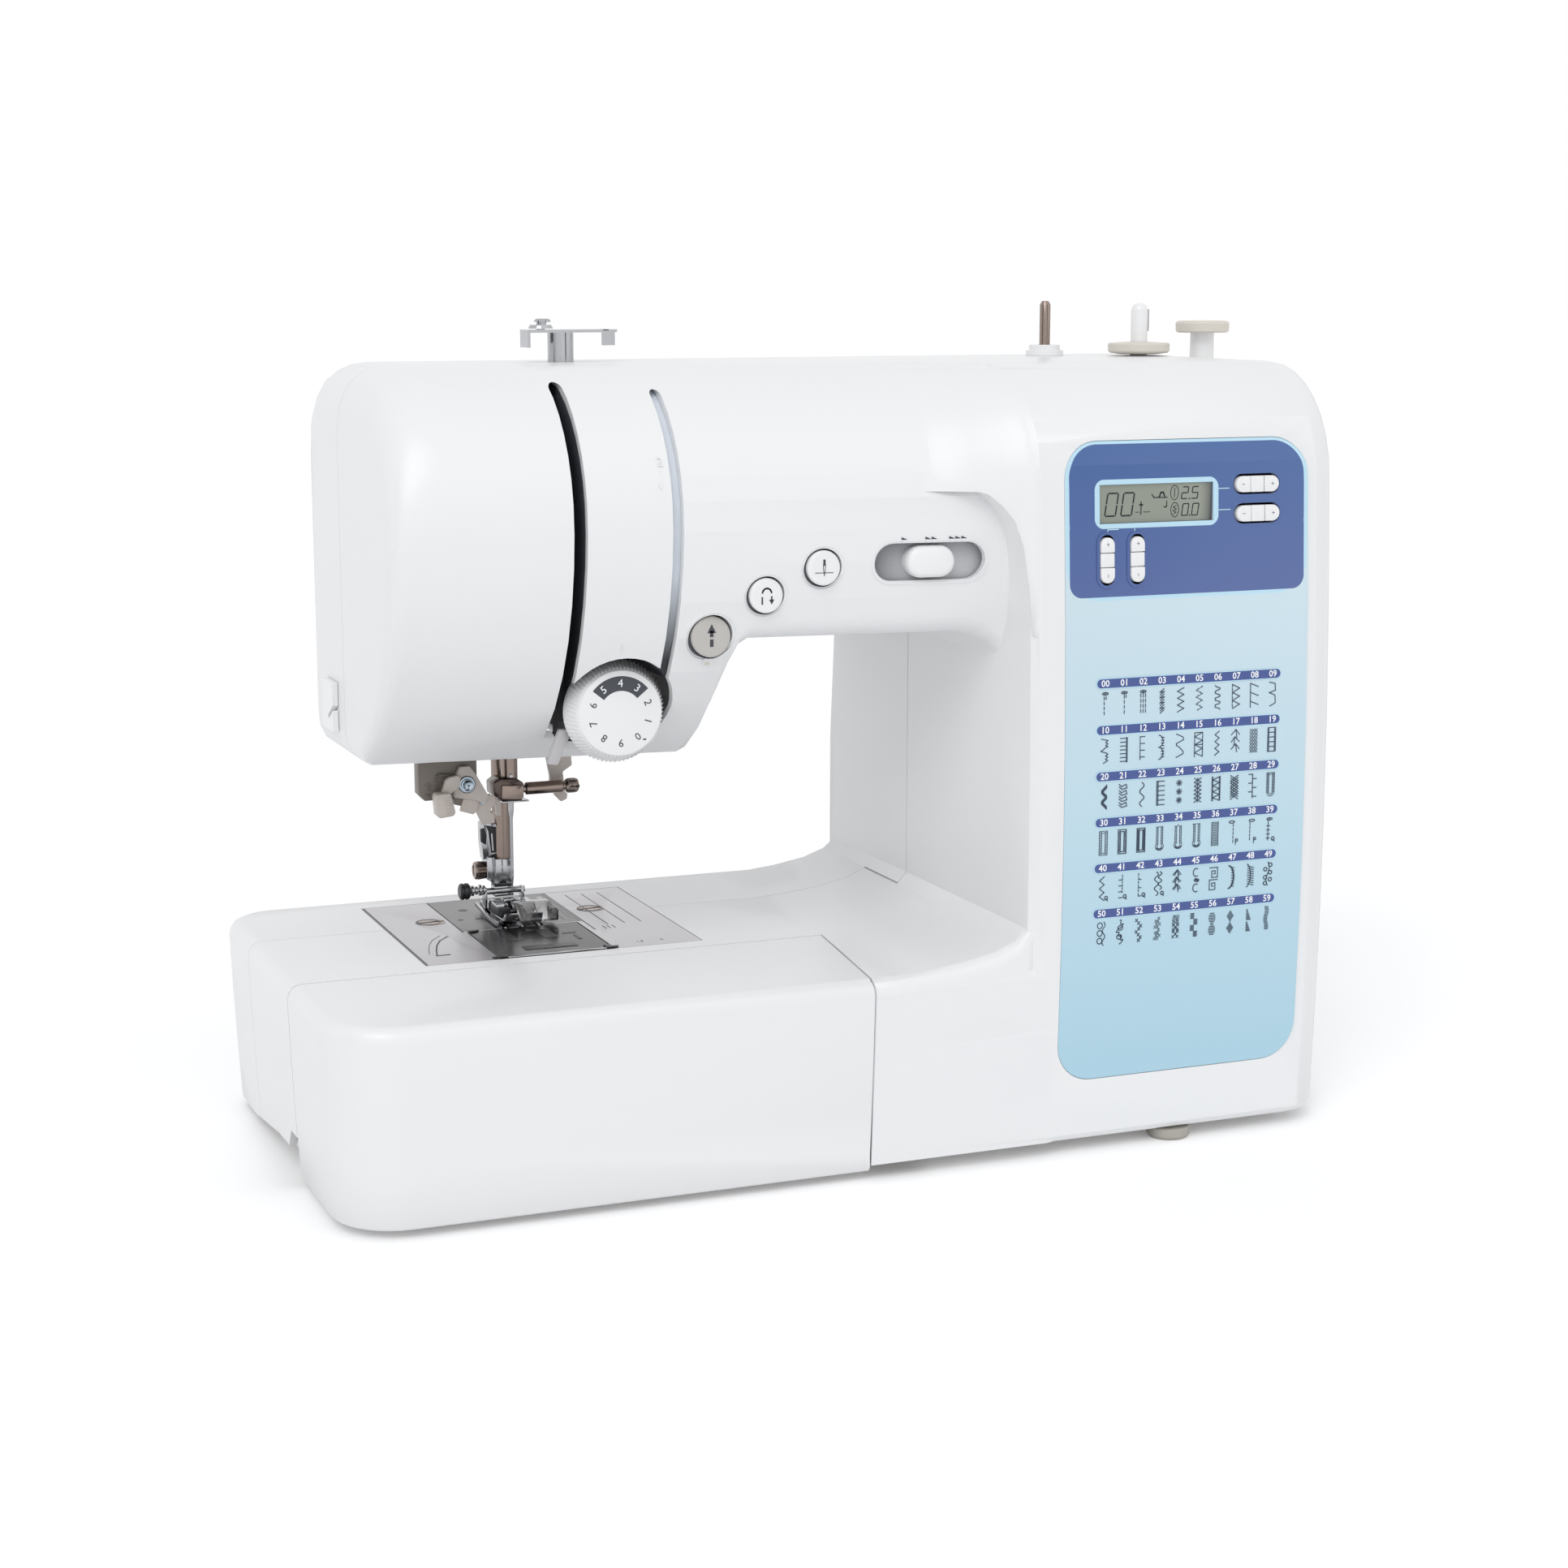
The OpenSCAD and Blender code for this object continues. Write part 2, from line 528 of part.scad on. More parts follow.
// Cast frame: arm beam, column post, bed plate and the bosses on the shafts
boss_x = [-84, 30, 150];
boss_d = 20;
bush_d = shaft_d + 6;
shelf_x = [plate_l + 12, plate_l + 71.5];
module main_frame() color([0.5, 0.52, 0.54]) {
    frame_casting();
    translate([lever_x - 2.4, lift_pivot[0], lift_pivot[1]]) rotate([0, 90, 0]) cylinder(d = 4, h = 6);
}
module frame_casting() difference() {
    union() {
        // Beam in the arm, open where the large pulley turns
        translate([-90, ny + 12, shaft_z - 14]) cube([198, 8, 44]);
        translate([125, ny + 12, shaft_z - 50]) cube([33, 8, 80]);
        translate([92, ny + 12, shaft_z - 50]) cube([16, 8, 60]);
        translate([92, ny + 12, shaft_z - 50]) cube([40, 8, 16]);
        for (x = boss_x) {
            translate([x - 6, ny, shaft_z - 7]) cube([12, 14, 14]);
            translate([x - 6, ny, shaft_z]) rotate([0, 90, 0]) cylinder(d = boss_d + 6, h = 12);
        }
        // Post in the column and its foot
        translate([52, ny + 12, base_z + base_t]) cube([30, 8, shaft_z]);
        translate([52, -20, base_z + base_t]) cube([30, ny + 34, 6]);
        // Beam in the bed, bosses of the lower shaft and shelves for the needle plate
        translate([-150, ny + 12, base_z + base_t]) cube([220, 8, 34]);
        for (x = lower_boss) {
            translate([x - 5, ny, lower_z - 7]) cube([10, 14, 14]);
            translate([x - 5, ny, lower_z]) rotate([0, 90, 0]) cylinder(d = lower_d + 8, h = 10);
        }
        for (x = shelf_x) {
            translate([x, ny + 12, 40]) cube([12, 8, bed_h - plate_t - 40]);
            translate([x, ny - 1, bed_h - plate_t - 7]) cube([12, 14, 7]);
        }
        // Bearing of the hook
        translate([hook_x - 8, hook_y - 8, base_z + base_t]) cube([16, 16, 10]);
        translate([hook_x - 5, hook_y, base_z + base_t]) cube([10, ny + 14 - hook_y, 5]);
        // Plate behind the needle bar, with the lug of the lifting lever
        translate([nx - 15, plate_y, head_z + 14]) cube([44, 4.3, shaft_z - head_z + 10]);
        translate([lever_x + 2.3, plate_y - 5, lift_pivot[1] - 6]) cube([4, 8, 12]);
    }
    translate([lever_x - 2.6, plate_y - 12, lift_pivot[1] - 16]) cube([4.9, 30, 26]);
    for (x = boss_x) translate([x - 7, ny, shaft_z]) rotate([0, 90, 0]) cylinder(d = bush_d, h = 14);
    for (x = lower_boss) translate([x - 6, ny, lower_z]) rotate([0, 90, 0])
        cylinder(d = lower_d + 2 * fit, h = 12);
    translate([hook_x, hook_y, base_z + base_t + 3]) cylinder(d = hook_shaft_d + 2 * fit, h = 20);
    for (x = screw_x) translate([x, screw_y, bed_h - 12]) cylinder(d = 4.1, h = 12);
}
lower_boss = [-78, 60];

module shaft_bushes() color([0.72, 0.55, 0.3]) for (x = boss_x)
    translate([x - 6, ny, shaft_z]) rotate([0, 90, 0]) difference() {
        cylinder(d = bush_d, h = 12);
        translate([0, 0, -1]) cylinder(d = shaft_d + 2 * fit, h = 14);
    }

motor_at = [48, 8, 118];
motor_l = 50;
motor_d = 46;
pulley_x = 116;
motor_pulley_d = 16;
shaft_pulley_d = 52;
module drive_motor() color([0.3, 0.31, 0.33]) {
    translate(motor_at) rotate([0, 90, 0]) cylinder(d = motor_d, h = motor_l);
    translate([motor_at[0] + motor_l, motor_at[1], motor_at[2]]) rotate([0, 90, 0]) cylinder(d = 22, h = 7.7);
    // Foot that bolts the motor to the post
    translate([56, motor_at[1] + 12, motor_at[2] - 16]) cube([22, ny - motor_at[1], 32]);
}

module motor_pulley() color(steel) translate([pulley_x - 10, motor_at[1], motor_at[2]])
    rotate([0, 90, 0]) {
        cylinder(d = 6, h = 18);
        translate([0, 0, 5]) cylinder(d = motor_pulley_d, h = 11);
        for (z = [4, 16]) translate([0, 0, z]) cylinder(d = motor_pulley_d + 4, h = 1);
    }

// Belts from the motor to the upper shaft, and from there to the lower shaft
belt_t = 1.6;
module belt_line(grow) hull() {
    translate([ny, shaft_z]) circle(d = shaft_pulley_d + grow);
    translate([motor_at[1], motor_at[2]]) circle(d = motor_pulley_d + grow);
}
module timing_line(grow) hull() for (z = [shaft_z, lower_z])
    translate([ny, z]) circle(d = timing_d + grow);
module drive_belts() color(dark) {
    translate([pulley_x - 3.5, 0, 0]) rotate([90, 0, 90]) linear_extrude(8) difference() {
        belt_line(0.6 + 2 * belt_t);
        belt_line(0.6);
    }
    translate([timing_x + 1, 0, 0]) rotate([90, 0, 90]) linear_extrude(7) difference() {
        timing_line(0.6 + 2 * belt_t);
        timing_line(0.6);
    }
}

module circuit_board() color([0.2, 0.42, 0.28]) {
    translate([48, front + 14, 60]) cube([86, 1.6, 140]);
    translate([56, front + 15.6, 70]) cube([22, 9, 22]);
    translate([96, front + 15.6, 130]) cube([26, 4, 30]);
    for (z = [68, 192]) for (x = [54, 128]) translate([x, pad_y(z) + wall + 0.7, z]) rotate([-90, 0, 0])
        cylinder(d = 5, h = front + 14.1 - pad_y(z) - wall, $fn = 24);
}

crank_d = 34;
shaft_end = overall_l / 2 - 8;
crank_x = -99;
module upper_shaft() color(steel) {
    translate([crank_x, ny, shaft_z]) rotate([0, 90, 0]) {
        cylinder(d = shaft_d, h = shaft_end - crank_x);
        difference() {
            cylinder(d = crank_d, h = 5);
            translate([8, 0, -1]) cylinder(d = 8, h = 7);
        }
    }
    // Crank pin
    translate([crank_x - 4.5, ny, shaft_z + needle_stroke / 2]) rotate([0, 90, 0]) cylinder(d = 4, h = 5);
    // Belt pulley
    translate([pulley_x - 4, ny, shaft_z]) rotate([0, 90, 0]) cylinder(d = shaft_pulley_d, h = 9);
    for (x = [pulley_x - 5.2, pulley_x + 5.2]) translate([x, ny, shaft_z]) rotate([0, 90, 0])
        cylinder(d = shaft_pulley_d + 5, h = 1);
    // Timing pulley for the lower shaft
    translate([timing_x, ny, shaft_z]) rotate([0, 90, 0]) cylinder(d = timing_d, h = 9);
}

module handwheel() color(white) translate([overall_l / 2 - wheel_w, ny, shaft_z]) rotate([0, 90, 0])
    difference() {
        union() {
            rotate_extrude() polygon([[0, 4], [12, 4], [12, 0], [wheel_d / 2 - 3, 0], [wheel_d / 2, 3],
                [wheel_d / 2, wheel_w - 6], [wheel_d / 2 - 2, wheel_w - 2.2], [wheel_d / 2 - 6, wheel_w],
                [wheel_d / 2 - 10, wheel_w - 0.6], [wheel_d / 2 - 13, wheel_w - 3.5],
                [0, wheel_w - 3.5]]);
            translate([0, 0, -12]) cylinder(d = 22, h = 13);
        }
        translate([0, 0, -13]) cylinder(d = shaft_d, h = shaft_end + 13 - overall_l / 2 + wheel_w);
        for (a = [0:18:359]) rotate([0, 0, a]) translate([wheel_d / 2 + 0.6, 0, -1])
            cylinder(r = 1.8, h = wheel_w + 2, $fn = 24);
    }

lever_pivot = [30, 206];
lever_tip = [-42, 224];
module take_up_lever() color(steel) translate([slot_lx - 0.8, 0, 0]) rotate([90, 0, 90]) {
    linear_extrude(1.6) difference() {
        hull() {
            translate(lever_pivot) circle(d = 13);
            translate([-20, 218]) circle(d = 8);
        }
        translate(lever_pivot) circle(d = 5 + 2 * fit);
    }
    linear_extrude(1.6) difference() {
        hull() {
            translate([-20, 218]) circle(d = 8);
            translate(lever_tip) circle(d = 7);
        }
        translate(lever_tip) circle(d = 2.4);
    }
}

// Frame that carries the needle bar and the pivot of the take-up lever
plate_y = ny + 17.7;
module needle_bar_frame() color([0.5, 0.52, 0.54]) difference() {
    union() {
        for (z = [head_z + 16, head_z + 84]) {
            translate([nx, ny, z]) cylinder(d = needle_bar_d + 7, h = 9);
            translate([nx, py, z]) cylinder(d = presser_bar_d + 6, h = 9);
            translate([nx - 13, ny, z]) cube([13, plate_y - ny, 9]);
        }
        translate([nx - 13, ny + 9, head_z + 16]) cube([5, plate_y - ny - 9, 77]);
        translate([slot_lx - 6, lever_pivot[0], lever_pivot[1]]) rotate([0, 90, 0]) {
            cylinder(d = 5, h = 8.2);
            cylinder(d = 11, h = 4.6);
        }
        translate([slot_lx - 6, lever_pivot[0] - 4, lever_pivot[1] + 3]) cube([4.6, 20, 20]);
        // Guide of the needle threader
        translate([nx - 22, thy + 2.3, head_z + 16]) cube([12, 14, 9]);
    }
    translate([nx, ny, head_z]) cylinder(d = needle_bar_d + 2 * fit, h = 110);
    translate([nx, py, head_z]) cylinder(d = presser_bar_d + 2 * fit, h = 110);
}

clamp_z = bed_h + 42.5;
module needle_bar() color(steel) {
    difference() {
        translate([nx, ny, clamp_z + 1]) cylinder(d = needle_bar_d, h = 138);
        translate([nx, ny - 1.6, clamp_z]) cylinder(d = 2.05, h = 3.2, $fn = 24);
    }
    // Driving block for the crank
    translate([nx - 5, ny - 5.2, shaft_z - 11.5]) difference() {
        cube([9, 10.4, 9]);
        translate([5, 5.2, -1]) cylinder(d = needle_bar_d - 0.1, h = 11);
    }
}

module needle_clamp() color([0.5, 0.46, 0.44]) difference() {
    union() {
        translate([nx, ny, clamp_z - 1.5]) cylinder(d = 11, h = 7.6);
        translate([nx - 5.5, ny - 5.5, clamp_z]) cube([11, 7, 4.6]);
    }
    translate([nx, ny, clamp_z + 1]) cylinder(d = needle_bar_d, h = 8);
    translate([nx, ny - 1.6, clamp_z - 3]) cylinder(d = 2.05, h = 6, $fn = 24);
    translate([nx + 2.6, ny - 1.6, clamp_z + 2.3]) rotate([0, 90, 0]) cylinder(d = 3, h = 6);
}

module needle_clamp_screw() color([0.45, 0.4, 0.38])
    translate([nx + 2.6, ny - 1.6, clamp_z + 2.3]) rotate([0, 90, 0]) difference() {
        union() {
            translate([0, 0, 0.5]) cylinder(d = 3, h = 5);
            translate([0, 0, 3]) cylinder(d = 4.6, h = 15);
            translate([0, 0, 17]) cylinder(d = 3, h = 3);
            translate([0, 0, 19]) cylinder(d = 4.8, h = 5);
        }
        translate([-0.4, -4, 22]) cube([0.8, 8, 3]);
    }

module needle() color(steel) translate([nx, ny - 1.6, 0]) {
    translate([0, 0, clamp_z - 2.6]) cylinder(d = 2, h = 5.6, $fn = 24);
    translate([0, 0, clamp_z - 6]) cylinder(d1 = 1.1, d2 = 2, h = 3.4, $fn = 24);
    difference() {
        translate([0, 0, clamp_z - 27]) cylinder(d = 1.1, h = 21.1, $fn = 24);
        translate([-0.3, -2, clamp_z - 26]) cube([0.6, 4, 1.6]);
    }
    translate([0, 0, clamp_z - 31]) cylinder(d1 = 0.3, d2 = 1.1, h = 4, $fn = 24);
}

// Presser bar and foot, the foot resting just over the plate
sole_z = bed_h + 0.5;
py = ny + presser_back;
module presser_bar() color(steel) {
    translate([nx, py, bed_h + 14]) cylinder(d = presser_bar_d, h = 150);
    // Bracket that the lifting lever raises
    translate([nx - 3, py - 1, lift_pivot[1] + 5.8]) cube([10, 6, 5]);
}

module foot_holder() color(steel) difference() {
    union() {
        translate([nx - 8, py - 4.7, bed_h + 12]) cube([12, 9.2, 21.5]);
        translate([nx - 3.6, py - 5.1, bed_h + 6.8]) cube([7.2, 7.1, 5.4]);
    }
    translate([nx, py, bed_h + 14]) cylinder(d = presser_bar_d, h = 20);
    translate([nx - 9, py + 0.5, bed_h + 16.5]) rotate([0, 90, 0]) cylinder(d = 3, h = 4.6);
}

module foot_holder_screw() color([0.5, 0.46, 0.44])
    translate([nx - 4.4, py + 0.5, bed_h + 16.5]) rotate([0, -90, 0]) {
        cylinder(d = 3, h = 4.4);
        translate([0, 0, 3.8]) cylinder(d = 8.4, h = 6);
    }

foot_w = 20;
// Ribs that stay under the lowered needle clamp when the foot is lifted
rib_h = clamp_z - 1.5 - needle_stroke - foot_lift - sole_z - 1.6;
module presser_foot() color(steel) difference() {
    union() {
        // Sole with toes turned up at the front
        translate([nx - foot_w / 2, 0, 0]) rotate([90, 0, 90]) linear_extrude(foot_w)
            polygon([[ny - 22, sole_z + 3.4], [ny - 17, sole_z], [ny + 14, sole_z],
                [ny + 17, sole_z + 1.2], [ny + 17, sole_z + 2.6], [ny - 16, sole_z + 1.9],
                [ny - 22, sole_z + 5]]);
        for (x = [-6.4, 4]) translate([nx + x, ny - 2, sole_z + 1.2]) cube([2.2, 12, rib_h]);
        translate([nx - 8.6, ny + 6, sole_z + 4.6]) rotate([0, 90, 0]) cylinder(d = 2.4, h = 16);
        translate([nx - 17.6, ny + 6, sole_z + 4.6]) rotate([0, 90, 0]) cylinder(d = 5.6, h = 4.6);
        translate([nx - 13.2, ny + 6, sole_z + 4.6]) rotate([0, 90, 0]) cylinder(d = 3, h = 5);
    }
    translate([nx - 1.6, ny - 24, sole_z - 1]) cube([3.2, 17, 8]);
    translate([nx - 4, ny - 4.6, sole_z - 1]) cube([8, 6, 8]);
    translate([nx - 4, ny - 8, sole_z - 1]) cube([8, 2, 8]);
}

// Lifting lever at the back of the head
lift_pivot = [ny + 17, head_z + 44];
module presser_lever() color([0.86, 0.87, 0.88]) translate([lever_x - 2, 0, 0]) rotate([90, 0, 90]) {
    linear_extrude(4) difference() {
        union() {
            translate(lift_pivot) circle(d = 11);
            hull() {
                translate(lift_pivot) circle(d = 8);
                translate([arm_back + 5, head_z + 22]) circle(d = 7);
            }
            hull() {
                translate([arm_back + 5, head_z + 22]) circle(d = 7);
                translate([arm_back + 9, head_z + 4]) circle(d = 9);
            }
        }
        translate(lift_pivot) circle(d = 4 + 2 * fit);
    }
}

// Automatic needle threader: a post with its beige cover, and its lever
thx = nx - 17;
thy = ny - 9;
module threader() color(beige) {
    translate([thx - 14, thy - 4, head_z - 21]) cube([15, 7, 19.6]);
    translate([thx - 3, thy - 2, head_z - 2]) cube([5, 4, 46]);
    translate([thx + 0.5, thy - 3, head_z - 28]) cube([8, 3, 9]);
    translate([thx - 2, thy - 4, head_z - 12]) rotate([90, 0, 0]) cylinder(d = 6.5, h = 1.4);
}
module threader_lever() color([0.82, 0.78, 0.75])
    translate([thx - 12, thy - 8.6, head_z - 33]) {
        rotate([12, 0, 0]) cube([8, 3, 10.5]);
        translate([0.8, -1.5, 8.5]) cube([6, 5.7, 8]);
    }

module thread_hook() color(beige) {
    translate([slot_lx + 9, ny - 30, head_z - 1.2]) cube([7, 28, 1.2]);
    translate([slot_lx + 10, ny - 22, head_z - 13]) cube([3, 2, 12.4]);
    translate([slot_lx + 13, ny - 22, head_z - 13]) cube([4, 2, 2]);
}

// Hook under the plate, its rim passing just in front of the needle
hook_x = -111;
hook_d = 44;
hook_y = ny - 2.6 - hook_d / 2;
hook_z = 36;
hook_shaft_d = 7;
timing_x = 37;
timing_d = 20;
module lower_shaft() color(steel) translate([0, ny, lower_z]) rotate([0, 90, 0]) {
    translate([0, 0, hook_x - 12]) cylinder(d = lower_d, h = 190);
    translate([0, 0, hook_x - 7]) cylinder(d = 18, h = 14);
    translate([0, 0, timing_x]) cylinder(d = timing_d, h = 9);
}

module rotary_hook() color(steel) translate([hook_x, hook_y, 0]) {
    translate([0, 0, 11]) cylinder(d = hook_shaft_d, h = hook_z - 9);
    translate([0, 0, 20]) cylinder(d = 30, h = 8);
    difference() {
        translate([0, 0, hook_z]) cylinder(d = hook_d, h = 19);
        translate([0, 0, hook_z + 3]) cylinder(d = hook_d - 4, h = 20);
        translate([hook_d / 2 - 4, -2, hook_z + 12]) cube([8, 10, 9]);
    }
}

module bobbin_case() color(dark) translate([hook_x, hook_y, hook_z]) difference() {
    union() {
        translate([0, 0, 3.3]) cylinder(d = hook_d - 5, h = 17.5);
        translate([0, 0, 19.4]) cylinder(d = hook_d - 1, h = 1.4);
    }
    translate([0, 0, 6]) cylinder(d = bobbin_d + 3, h = 20);
}

bobbin_d = 20.5;
module bobbin() color([0.85, 0.87, 0.9]) translate([hook_x, hook_y, hook_z + 6.4]) difference() {
    union() {
        cylinder(d = bobbin_d, h = 1.4);
        cylinder(d = 9, h = 11.6);
        translate([0, 0, 10.2]) cylinder(d = bobbin_d, h = 1.4);
    }
    translate([0, 0, -1]) cylinder(d = 6, h = 14);
}

module bobbin_cover() color([0.25, 0.25, 0.26]) {
    translate([cover_l + 0.4, plate_front + 0.4, bed_h - 1.8]) cube([cover_w - 0.8, cover_d - 0.8, 1.8]);
    for (x = [cover_l + 2, cover_l + cover_w - 6])
        translate([x, plate_front + 0.8, bed_h - 5]) cube([4, 2, 3.4]);
}

feed_rows = [-6.2, 0, 6.2];
feed_l = 22;
module feed_dog() color(steel) difference() {
    union() {
        for (x = feed_rows) translate([nx + x - 1, ny - feed_l / 2, bed_h - 4.8]) {
            cube([2, feed_l, 4.3]);
            for (y = [0:1.6:feed_l - 1.6]) translate([0, y, 4.2]) rotate([90, 0, 90]) linear_extrude(2)
                polygon([[0, 0], [1.5, 0], [0.4, 0.6]]);
        }
        translate([nx - 8.2, ny - feed_l / 2, bed_h - 8.4]) cube([16.4, feed_l, 3.8]);
    }
    translate([nx - 3, ny - 5, bed_h - 9]) cube([6, 7, 12]);
}

drop_at = -140;
module drop_feed_lever() color(dark) {
    translate([drop_at - 10, back - 6.1, 31]) cube([8, 6.1, 5]);
    translate([drop_at - 16, back - 6.1, 29.5]) cube([20, 2, 8]);
}

module tension_dial() color(white) translate([dial_x, 0, dial_z]) rotate([90, 0, 0]) {
    translate([0, 0, 31]) difference() {
        cylinder(d1 = dial_d, d2 = dial_d - 8, h = dial_h);
        for (a = [0:10:359]) rotate([0, 0, a]) translate([dial_d / 2 + 0.3, 0, -0.5])
            rotate([0, -24, 0]) cylinder(r = 0.7, h = dial_h + 2, $fn = 16);
    }
    translate([0, 0, 4]) cylinder(d = stem_d, h = 27.5);
    for (z = [12, 17]) translate([0, 0, z]) cylinder(d = 24, h = 2);
}

// A round button with its stem, standing out of the face at [x, z]
module round_button(p, d) translate([p[0], arm_y(p[0], p[1]) + 0.3 - button_travel, p[1]])
    rotate([-90, 0, 0]) {
    cylinder(d = d, h = 7.5);
    translate([0, 0, 7]) cylinder(d = d - 6, h = 6);
}
module start_stop_button() color([0.78, 0.77, 0.75]) round_button(start_at, button_d);
module reverse_button() color(white) round_button(reverse_at, small_button_d);
module needle_position_button() color(white) round_button(position_at, small_button_d);

slider_y = arm_y(slider_at[0], slider_at[1]);
module speed_slider() color(white) translate([slider_at[0], slider_y, slider_at[1]])
    rotate([90, 0, atan(arm_slope)]) {
        translate([5 - slot_l / 2 - slide_travel, -7.5, -6.8]) cube([slot_l + 2 * slide_travel - 10, 15, 2]);
        translate([0, 0, -5.4]) linear_extrude(7.2) hull() for (s = [-1, 1])
            translate([s * 3.2, 0]) circle(d = 10.6);
    }

module rubber_key(k) difference() {
    intersection() {
        key_room(k, 0);
        translate([k[0] - 15, pad_y(k[1]) - 1, k[1] - 15]) cube([30, 6.6, 30]);
    }
}
module tens_key() color(white) rubber_key(key_places[0]);
module units_key() color(white) rubber_key(key_places[1]);
module length_key() color(white) rubber_key(key_places[2]);
module width_key() color(white) rubber_key(key_places[3]);

module spool_pin() color(steel) translate([spool_at[0], spool_at[1], arm_top + 20 - spool_l]) {
    cylinder(d = spool_d + 1, h = spool_l - 16);
    cylinder(d = spool_d, h = spool_l - 1.4);
    translate([0, 0, spool_l - 1.4]) cylinder(d1 = spool_d, d2 = spool_d - 1.6, h = 1.4);
    translate([0, 0, spool_l - spool_travel - 32]) cylinder(d = spool_d + 4, h = 3);
}

module spool_pin_base() color(white) translate([spool_at[0], spool_at[1], arm_top]) difference() {
    union() {
        cylinder(d = 14, h = 2);
        translate([0, 0, 2]) cylinder(d = 11.6, h = 2);
        translate([0, 0, -8]) cylinder(d = 8.6, h = 8);
    }
    translate([0, 0, -9]) cylinder(d = spool_d + 1 + 2 * fit, h = 15);
}

module winder_arm() color(steel) translate([winder_at[0], winder_at[1], arm_top - 16]) difference() {
    union() {
        translate([-9, -12, 9.2]) cube([18, 24, 4]);
        translate([0, 0, 6]) cylinder(d = 8.4, h = 10);
    }
    translate([0, 0, -1]) cylinder(d = 4 + 2 * fit, h = 20);
}

module winder_spindle() color(beige) translate([winder_at[0], winder_at[1], arm_top]) {
    translate([0, 0, -11]) cylinder(d = 4, h = 12);
    translate([0, 0, 0.8]) cylinder(d1 = seat_d - 4, d2 = seat_d, h = 1.4);
    translate([0, 0, 2.2]) cylinder(d = seat_d, h = 1.8);
    translate([0, 0, 4]) cylinder(d = 5.8, h = 13.6);
    translate([0, 0, 17.6]) cylinder(d1 = 5.8, d2 = 4.4, h = 1.8);
}

module bobbin_stop() color(beige) translate([stop_at[0], stop_at[1], arm_top - 1.4]) {
    translate([0, 0, -4]) cylinder(d = 7.4, h = 15.6);
    translate([0, 0, 11]) cylinder(d = 20, h = 1.4);
    translate([0, 0, 12.4]) cylinder(d1 = 20, d2 = 17, h = 1.8);
}

module thread_guide() color(steel) translate([guide_at[0], guide_at[1], arm_top]) {
    cylinder(d = 9, h = 10.2);
    translate([-13, -4.5, 10]) difference() {
        cube([32, 9, 1]);
        translate([27, -1, -1]) cube([2, 6, 3]);
    }
    translate([-13, -4.5, 5]) cube([1, 9, 5.1]);
    translate([13.6, -4.5, 5.6]) cube([4.6, 1, 5]);
    translate([-7, 0, 10.8]) cylinder(d = 3, h = 3.2);
    translate([-7, 0, 11.4]) cylinder(d1 = 8.6, d2 = 7.4, h = 1.2);
}

// Carrying handle folded down against the back
handle_x = [-12, 104];
handle_z = 238;
handle_py = col_top_back + 8;
handle_l = 50;
module carry_handle() color(white) {
    for (x = handle_x) translate([x - 3, 0, 0]) rotate([90, 0, 90]) linear_extrude(6) difference() {
        hull() {
            translate([handle_py, handle_z]) circle(d = 11);
            translate([handle_py + 5, handle_z - handle_l]) circle(d = 11);
        }
        translate([handle_py, handle_z]) circle(d = 5 + 2 * fit);
    }
    translate([handle_x[0] - 3, handle_py - 0.2, handle_z - handle_l - 8])
        cube([handle_x[1] - handle_x[0] + 6, 10.7, 14]);
}

module thread_cutter() color(beige) translate([head_l - 2.2, 30, head_z + 8]) difference() {
    cube([2.1, 15, 17]);
    translate([-1, -1, 8]) rotate([-30, 0, 0]) cube([5, 9, 1.4]);
}

module lamp() color([0.95, 0.95, 0.9]) translate([lamp_at[0] - 9, lamp_at[1] - 7, head_z - 0.4])
    cube([18, 14, 5]);

module power_switch() color(dark) translate([col_r - 3, switch_at[0], switch_at[1]]) rotate([0, 8, 0])
    translate([-6, -7, -11]) cube([8.6, 14, 22]);

module power_sockets() color(dark) translate([col_r - 12, socket_at[0], socket_at[1]]) difference() {
    translate([0, -8.5, -16]) cube([13, 17, 32]);
    translate([5, -6.5, -13]) cube([10, 13, 13]);
    translate([5, 0, 8]) rotate([0, 90, 0]) cylinder(d = 7, h = 10);
}

// Lugs on the back of the arm, with the pins of the handle
function column_back(z) = col_top_back + (col_back - col_top_back) * (arm_top - 16 - z) / (arm_top - 136);
module handle_brackets() color(white) for (i = [0, 1]) {
    b = [for (z = [handle_z - 7, handle_z + 7]) i == 0 ? arm_back : column_back(z)];
    translate([handle_x[i] + (i == 0 ? -9.4 : 3.4), 0, handle_z]) rotate([90, 0, 90]) linear_extrude(6)
        polygon([[b[0] + 0.05, -7], [handle_py + 6, -7], [handle_py + 6, 7], [b[1] + 0.05, 7]]);
    translate([handle_x[i] - 3, handle_py, handle_z]) rotate([0, 90, 0])
        translate([0, 0, i == 0 ? -1 : 0]) cylinder(d = 5, h = 7);
}

front_cover();
rear_cover();
base_plate();
rubber_feet();
accessory_box();
needle_plate();
needle_plate_screws();
thread_channel();
control_panel();
lcd_display();
main_frame();
drive_motor();
motor_pulley();
drive_belts();
circuit_board();
shaft_bushes();
upper_shaft();
handwheel();
take_up_lever();
needle_bar_frame();
needle_bar();
needle_clamp();
needle_clamp_screw();
needle();
presser_bar();
foot_holder();
foot_holder_screw();
presser_foot();
presser_lever();
threader();
threader_lever();
thread_hook();
lower_shaft();
rotary_hook();
bobbin_case();
bobbin();
bobbin_cover();
feed_dog();
drop_feed_lever();
tension_dial();
start_stop_button();
reverse_button();
needle_position_button();
speed_slider();
tens_key();
units_key();
length_key();
width_key();
spool_pin();
spool_pin_base();
winder_arm();
winder_spindle();
bobbin_stop();
thread_guide();
carry_handle();
handle_brackets();
thread_cutter();
lamp();
power_switch();
